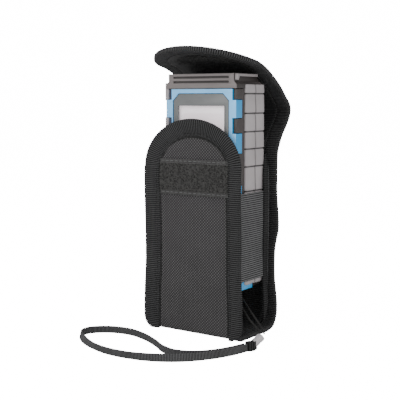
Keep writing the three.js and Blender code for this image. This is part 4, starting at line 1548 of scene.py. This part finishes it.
    def build_gusset_edges(self, dresser: Dresser) -> None:
        """The back's bound lip that each elastic is sewn to, its thin hem, and a thin roll beside the front.

        The lip is a flattened ring carried up a slow S; hem and roll are thin rings.

        Args:
            dresser: gives the pieces their finish and body.
        """
        for name, side, x0 in (("left", -1, -24.4), ("right", 1, 29.0)):
            lip = spline([(x0, 14.0, 5.0), (x0 + side * 0.4, 15.0, 16), (x0, 14.6, 30),
                          (x0 + side * 0.3, 14.6, 60), (x0 + side * 0.2, 14.8, 84),
                          (x0 - side * 0.6, 15.6, 97), (x0 - side * 1.4, 16.6, 104)], 20)
            piece = self.lip_mesh(f"gusset_lip_{name}", even(lip * MM, 0.6 * MM), 2.4 * MM, 0.8 * MM)
            dresser.dress(piece, Slot.BELT, "pouch")
            edge = lip + np.array([side * 0.5, 2.3, 0.0])
            edge = even(edge[(edge[:, 2] > 26) & (edge[:, 2] < 98)] * MM, 0.6 * MM)
            piece = self.lip_mesh(f"gusset_hem_{name}", edge, 0.28 * MM, 0.28 * MM)
            dresser.dress(piece, Slot.STRAP, "pouch")
            roll = spline([(x0 + side * 2.2, -16.1, 4.0), (x0 + side * 1.6, -16.0, 30),
                           (x0 + side * 1.2, -15.8, 56), (x0 + side * 1.4, -15.9, 84),
                           (x0 + side * 1.9, -16.3, 100)], 20)
            piece = self.lip_mesh(f"gusset_roll_{name}", even(roll * MM, 0.6 * MM), 0.55 * MM, 0.5 * MM)
            dresser.dress(piece, Slot.ELASTIC, "pouch")

    def lip_mesh(self, name: str, path: Array, half_depth: float, half_thickness: float) -> bpy.types.Object:
        """A flattened ring carried along a path that runs upwards, its long way in y.

        Args:
            name: the piece's name.
            path: its centreline.
            half_depth: half its size in y.
            half_thickness: half its size in x.

        Returns:
            The object.
        """
        angle = circle(20)
        deep = squared(np.sin(angle), 0.7) * half_depth
        thick = squared(np.cos(angle), 0.7) * half_thickness
        ring = np.stack([thick, deep, 0 * deep], -1)
        share = np.linspace(0, 1, len(path))
        size = np.clip(np.minimum(share, 1 - share) / 0.12, 0.02, 1) ** 0.5
        points = path[:, None] + ring[None] * size[:, None, None]
        uv = chart(np.append(deep, deep[0]), lengths(path))
        return tube(name, points, uv)

    def build_belt_loop(self, dresser: Dresser) -> None:
        """The belt loop on the back: heavy webbing with ribs across it.

        Args:
            dresser: gives the pieces their finish and body.
        """
        middle = even(spline(self.loop_middle) * MM, 0.28 * MM)
        reach = lengths(middle)
        slope = unit(np.gradient(middle, axis=0))
        angle = circle(40)
        across = squared(np.cos(angle), 0.5) * 19 * MM
        rib = np.abs(np.sin(math.pi * reach / (1.3 * MM))) ** 0.7 * 0.16 * MM
        thick = squared(np.sin(angle), 0.4)
        rise = thick[None, :] * (0.75 * MM + rib[:, None])
        x = np.broadcast_to(across[None, :], rise.shape)
        points = np.stack([x, middle[:, :1] + slope[:, 1:] * rise, middle[:, 1:] - slope[:, :1] * rise], -1)
        uv = chart(np.append(across, across[0]), reach)
        dresser.dress(tube("belt_loop_web", points, uv), Slot.BELT, "pouch", "belt_loop")


# ---------------------------------------------------------------- instrument


@dataclass
class Instrument:
    """The distance meter: rounded hard parts, block armour, and the plain parts inside it."""

    offset_x: float = 3.0 * MM
    raised: float = 27.0 * MM
    rounded: tuple = (
        ("front_frame", "front_frame_shell", Slot.BLUE, 0.55), ("face_plate", "face_bezel", Slot.FACE, 0.25),
        ("top_cap", "cap_body", Slot.CAP, 0.5),
        # The cap's trims take a lighter grey as painted highlight.
        ("cap_trim_right", "cap_corner_right", Slot.TRIM_HIGHLIGHT, 0.35),
        ("side_rail_right", "side_band_right", Slot.DARK, 0.3), ("rear_shell", "rear_case", Slot.DARK, 0.8),
        ("lcd_panel", "lcd_glass", Slot.LCD, 0.2), ("display_window", "display_pane", Slot.WINDOW, 0.2))
    keys: tuple = ("plus", "minus", "area", "reference", "timer", "units", "memory", "power")
    carried: tuple = (
        ("laser_window", Slot.WINDOW), ("receiver_lens", Slot.WINDOW), ("laser_module", Slot.BRASS),
        ("receiver_tube", Slot.KEY), ("keypad_mat", Slot.KEY), ("main_board", Slot.BOARD),
        ("buzzer", Slot.KEY),
        ("battery_cell_left", Slot.CELL), ("battery_cell_right", Slot.CELL),
        ("battery_contact_top", Slot.STEEL), ("battery_contact_bottom", Slot.STEEL),
        ("case_screw_1", Slot.STEEL), ("case_screw_2", Slot.STEEL),
        ("case_screw_3", Slot.STEEL), ("case_screw_4", Slot.STEEL), ("lanyard_lug", Slot.STEEL))
    bumpers: tuple = ((5.0, 22.1), (31.9, 50.1), (59.9, 78.1), (88.9, 97.8), (107.4, 117.3))
    seams: tuple = (2.4, 16, 29, 42, 56, 70, 80, 89.7, 100, 111, 116.6)

    def build(self, dresser: Dresser) -> None:
        """Makes or dresses every part of the instrument.

        Args:
            dresser: gives the pieces their finish and body.
        """
        for node, name, slot, radius in self.rounded:
            dresser.dress(softened(name, node, radius * MM), slot, "instrument", node)
        self.build_keys(dresser)
        cover = softened("battery_cover_plate", "battery_cover", 0.4 * MM)
        dresser.dress(cover, Slot.DARK, "battery_door", "battery_cover")
        for name, side in (("left", -1), ("right", 1)):
            dresser.dress(self.armour_mesh(name, side), Slot.ARMOUR, "instrument", f"armour_{name}")
        for node, slot in self.carried:
            dresser.paint(node, slot)
        self.build_left_edge(dresser)

    def build_left_edge(self, dresser: Dresser) -> None:
        """The light bumpers between the frame's left tabs, with a dark block beside each as painted shade in
        its gap, and the thin trim beside the crown, whose lighter grey is a painted highlight.

        Args:
            dresser: gives the pieces their finish and body.
        """
        for number, (low, high) in enumerate(self.bumpers):
            name = f"bumper_left_{number + 1}"
            block = self.rounded_block(name, (-24.1, -9.3), (1.6, 4.0), low, high)
            dresser.dress(block, Slot.ARMOUR, "instrument", *(("side_rail_left",) if number == 0 else ()))
            # Painted shade: a dark block set in beside each bumper stands for the shaded gap next to the
            # frame.
            name = f"bumper_gap_shade_{number + 1}"
            gap_shade = self.rounded_block(name, (-22.3, -9.4), (1.3, 3.3), low + 0.4, high - 0.4)
            dresser.dress(gap_shade, Slot.DARK, "instrument")
        # Painted highlight: the trim's lighter grey stands for the cap's chamfered edge catching light.
        trim = self.rounded_block("cap_corner_left", (-22.75, -2.7), (0.4, 10.5), 120.4, 122.1)
        dresser.dress(trim, Slot.TRIM_HIGHLIGHT, "instrument", "cap_trim_left")

    def rounded_block(self, name: str, centre: tuple[float, float], half: tuple[float, float],
                      low: float, high: float) -> bpy.types.Object:
        """A block with rounded corners and rims: a squared ring whose size is a flattened arch of its height.

        Args:
            name: the piece's name.
            centre: x and y in mm in the instrument's own measure.
            half: half sizes in x and y.
            low: its lower end, in mm above the instrument's foot.
            high: its upper end.

        Returns:
            The object.
        """
        angle = circle(32)
        ring = np.stack([squared(np.cos(angle), 0.4) * half[0],
                         squared(np.sin(angle), 0.4) * half[1]], -1)
        inset = np.array([0.5, 0.25, 0.1, 0.03, 0.0, 0.0, 0.03, 0.1, 0.25, 0.5])
        rim = np.array([0.0, 0.05, 0.18, 0.32, 0.5])
        z = np.concatenate([low + rim, (high - rim)[::-1]])
        scaled = ring[None] * (1 - inset[:, None, None] / np.array(half)[None, None])
        x = (scaled[..., 0] + centre[0]) * MM + self.offset_x
        height = np.broadcast_to(z[:, None] * MM + self.raised, x.shape)
        points = np.stack([x, (scaled[..., 1] + centre[1]) * MM, height], -1)
        around = np.linspace(0, 4 * (half[0] + half[1]), 33) * MM
        uv = chart(around, z * MM)
        return tube(name, points, uv)

    def build_keys(self, dresser: Dresser) -> None:
        """The nine keys with rounded rims.

        Args:
            dresser: gives the pieces their finish and body.
        """
        main = softened("key_measure", "button_measure", 0.5 * MM, 3)
        dresser.dress(main, Slot.ACCENT, "button_measure_key", "button_measure")
        for key in self.keys:
            piece = softened(f"key_{key}", f"button_{key}", 0.45 * MM, 3)
            dresser.dress(piece, Slot.KEY, f"button_{key}_key", f"button_{key}")

    def armour_mesh(self, name: str, side: int) -> bpy.types.Object:
        """The soft strip of blocks on one side.

        The ring round it is a box whose outer face is split by a crease halfway along its depth.
        Up the strip, each block grows outwards towards its lower rim by a slow power and drops into a
        narrow seam, so that the blocks lie over each other like scales.

        Args:
            name: left or right.
            side: -1 or 1.

        Returns:
            The object.
        """
        section = np.array([
            (21.9, -4.3), (22.4, -4.55), (24.0, -4.55), (24.45, -4.35), (24.65, -3.8), (24.7, -2),
            (24.7, 1), (24.7, 3.4), (24.7, 4.4), (24.6, 4.75), (23.6, 4.9), (23.6, 5.7), (24.6, 5.85),
            (24.65, 6.2), (24.65, 10.5), (24.6, 13), (24.4, 14.9),
            (23.8, 15.5), (21.9, 15.6), (21.85, 12), (21.85, 6), (21.85, 0)])
        outer = np.array([0.1, 0.5, 1, 1, 1, 1, 1, 1, 1, 1, 0.7, 0.7, 1, 1, 1, 1, 0.8, 0.6, 0.1, 0, 0, 0])
        levels, relief = [], []
        for low, high in zip(self.seams[:-1], self.seams[1:]):
            share = np.array([0.0, 0.35, 0.5, 0.75, 1.1, 1.6])
            climb = np.linspace(1.9, high - low - 1.2, 9)
            rise = np.concatenate([share, climb, high - low - np.array([0.8, 0.45, 0.25])])
            levels.append(low + rise)
            up = rise / (high - low)
            shape = 0.5 * (1 - up) ** 0.8 - 0.1
            shape[:3] = [-0.95, -0.95, -0.5]
            shape[3] += -0.15
            shape[-1], shape[-2] = -0.5, -0.2
            relief.append(shape)
        z = np.concatenate(levels)
        lift = np.concatenate(relief)
        middle = np.array([22.6, 5.0])
        push = outer[None, :, None] * lift[:, None, None]
        swell = section[None] + push * unit(section - middle)[None]
        x = side * swell[..., 0] * MM + self.offset_x
        height = np.broadcast_to(z[:, None] * MM + self.raised, x.shape)
        points = np.stack([x, swell[..., 1] * MM, height], -1)
        around = np.append(lengths(section * MM), lengths(section * MM)[-1] + 4 * MM)
        uv = chart(around, z * MM)
        strip = tube(f"armour_blocks_{name}", points, uv)
        # Painted shade: the crease and the seam gaps are written into the depth attribute, which darkens the
        # armour's colour.
        crease = np.exp(-(((section[:, 1] - 5.3) / 0.5) ** 4)) * (section[:, 0] > 23)
        gap = np.clip((-lift - 0.3) / 0.4, 0, 1) * (z > 8)
        dark = np.maximum(gap[:, None], crease[None, :] * 1.3) * (section[:, 0] > 22.2)[None, :]
        depth = np.concatenate([np.clip(dark, 0, 1).ravel(), [0.0, 0.0]]).astype(np.float32)
        strip.data.attributes.new("depth", "FLOAT", "POINT").data.foreach_set("value", depth)
        return strip


def main() -> None:
    """Builds the scene: studio and cords first, then the pouch and the instrument."""
    logging.basicConfig(level=logging.INFO, format="%(message)s")
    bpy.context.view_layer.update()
    dresser = Dresser()
    Studio().build()
    WristStrap().build(dresser)
    Pouch().build(dresser)
    Instrument().build(dresser)
    record_size()


def record_size() -> None:
    """Updates the view layer.
    """
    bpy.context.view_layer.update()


if __name__ == "__main__":
    main()
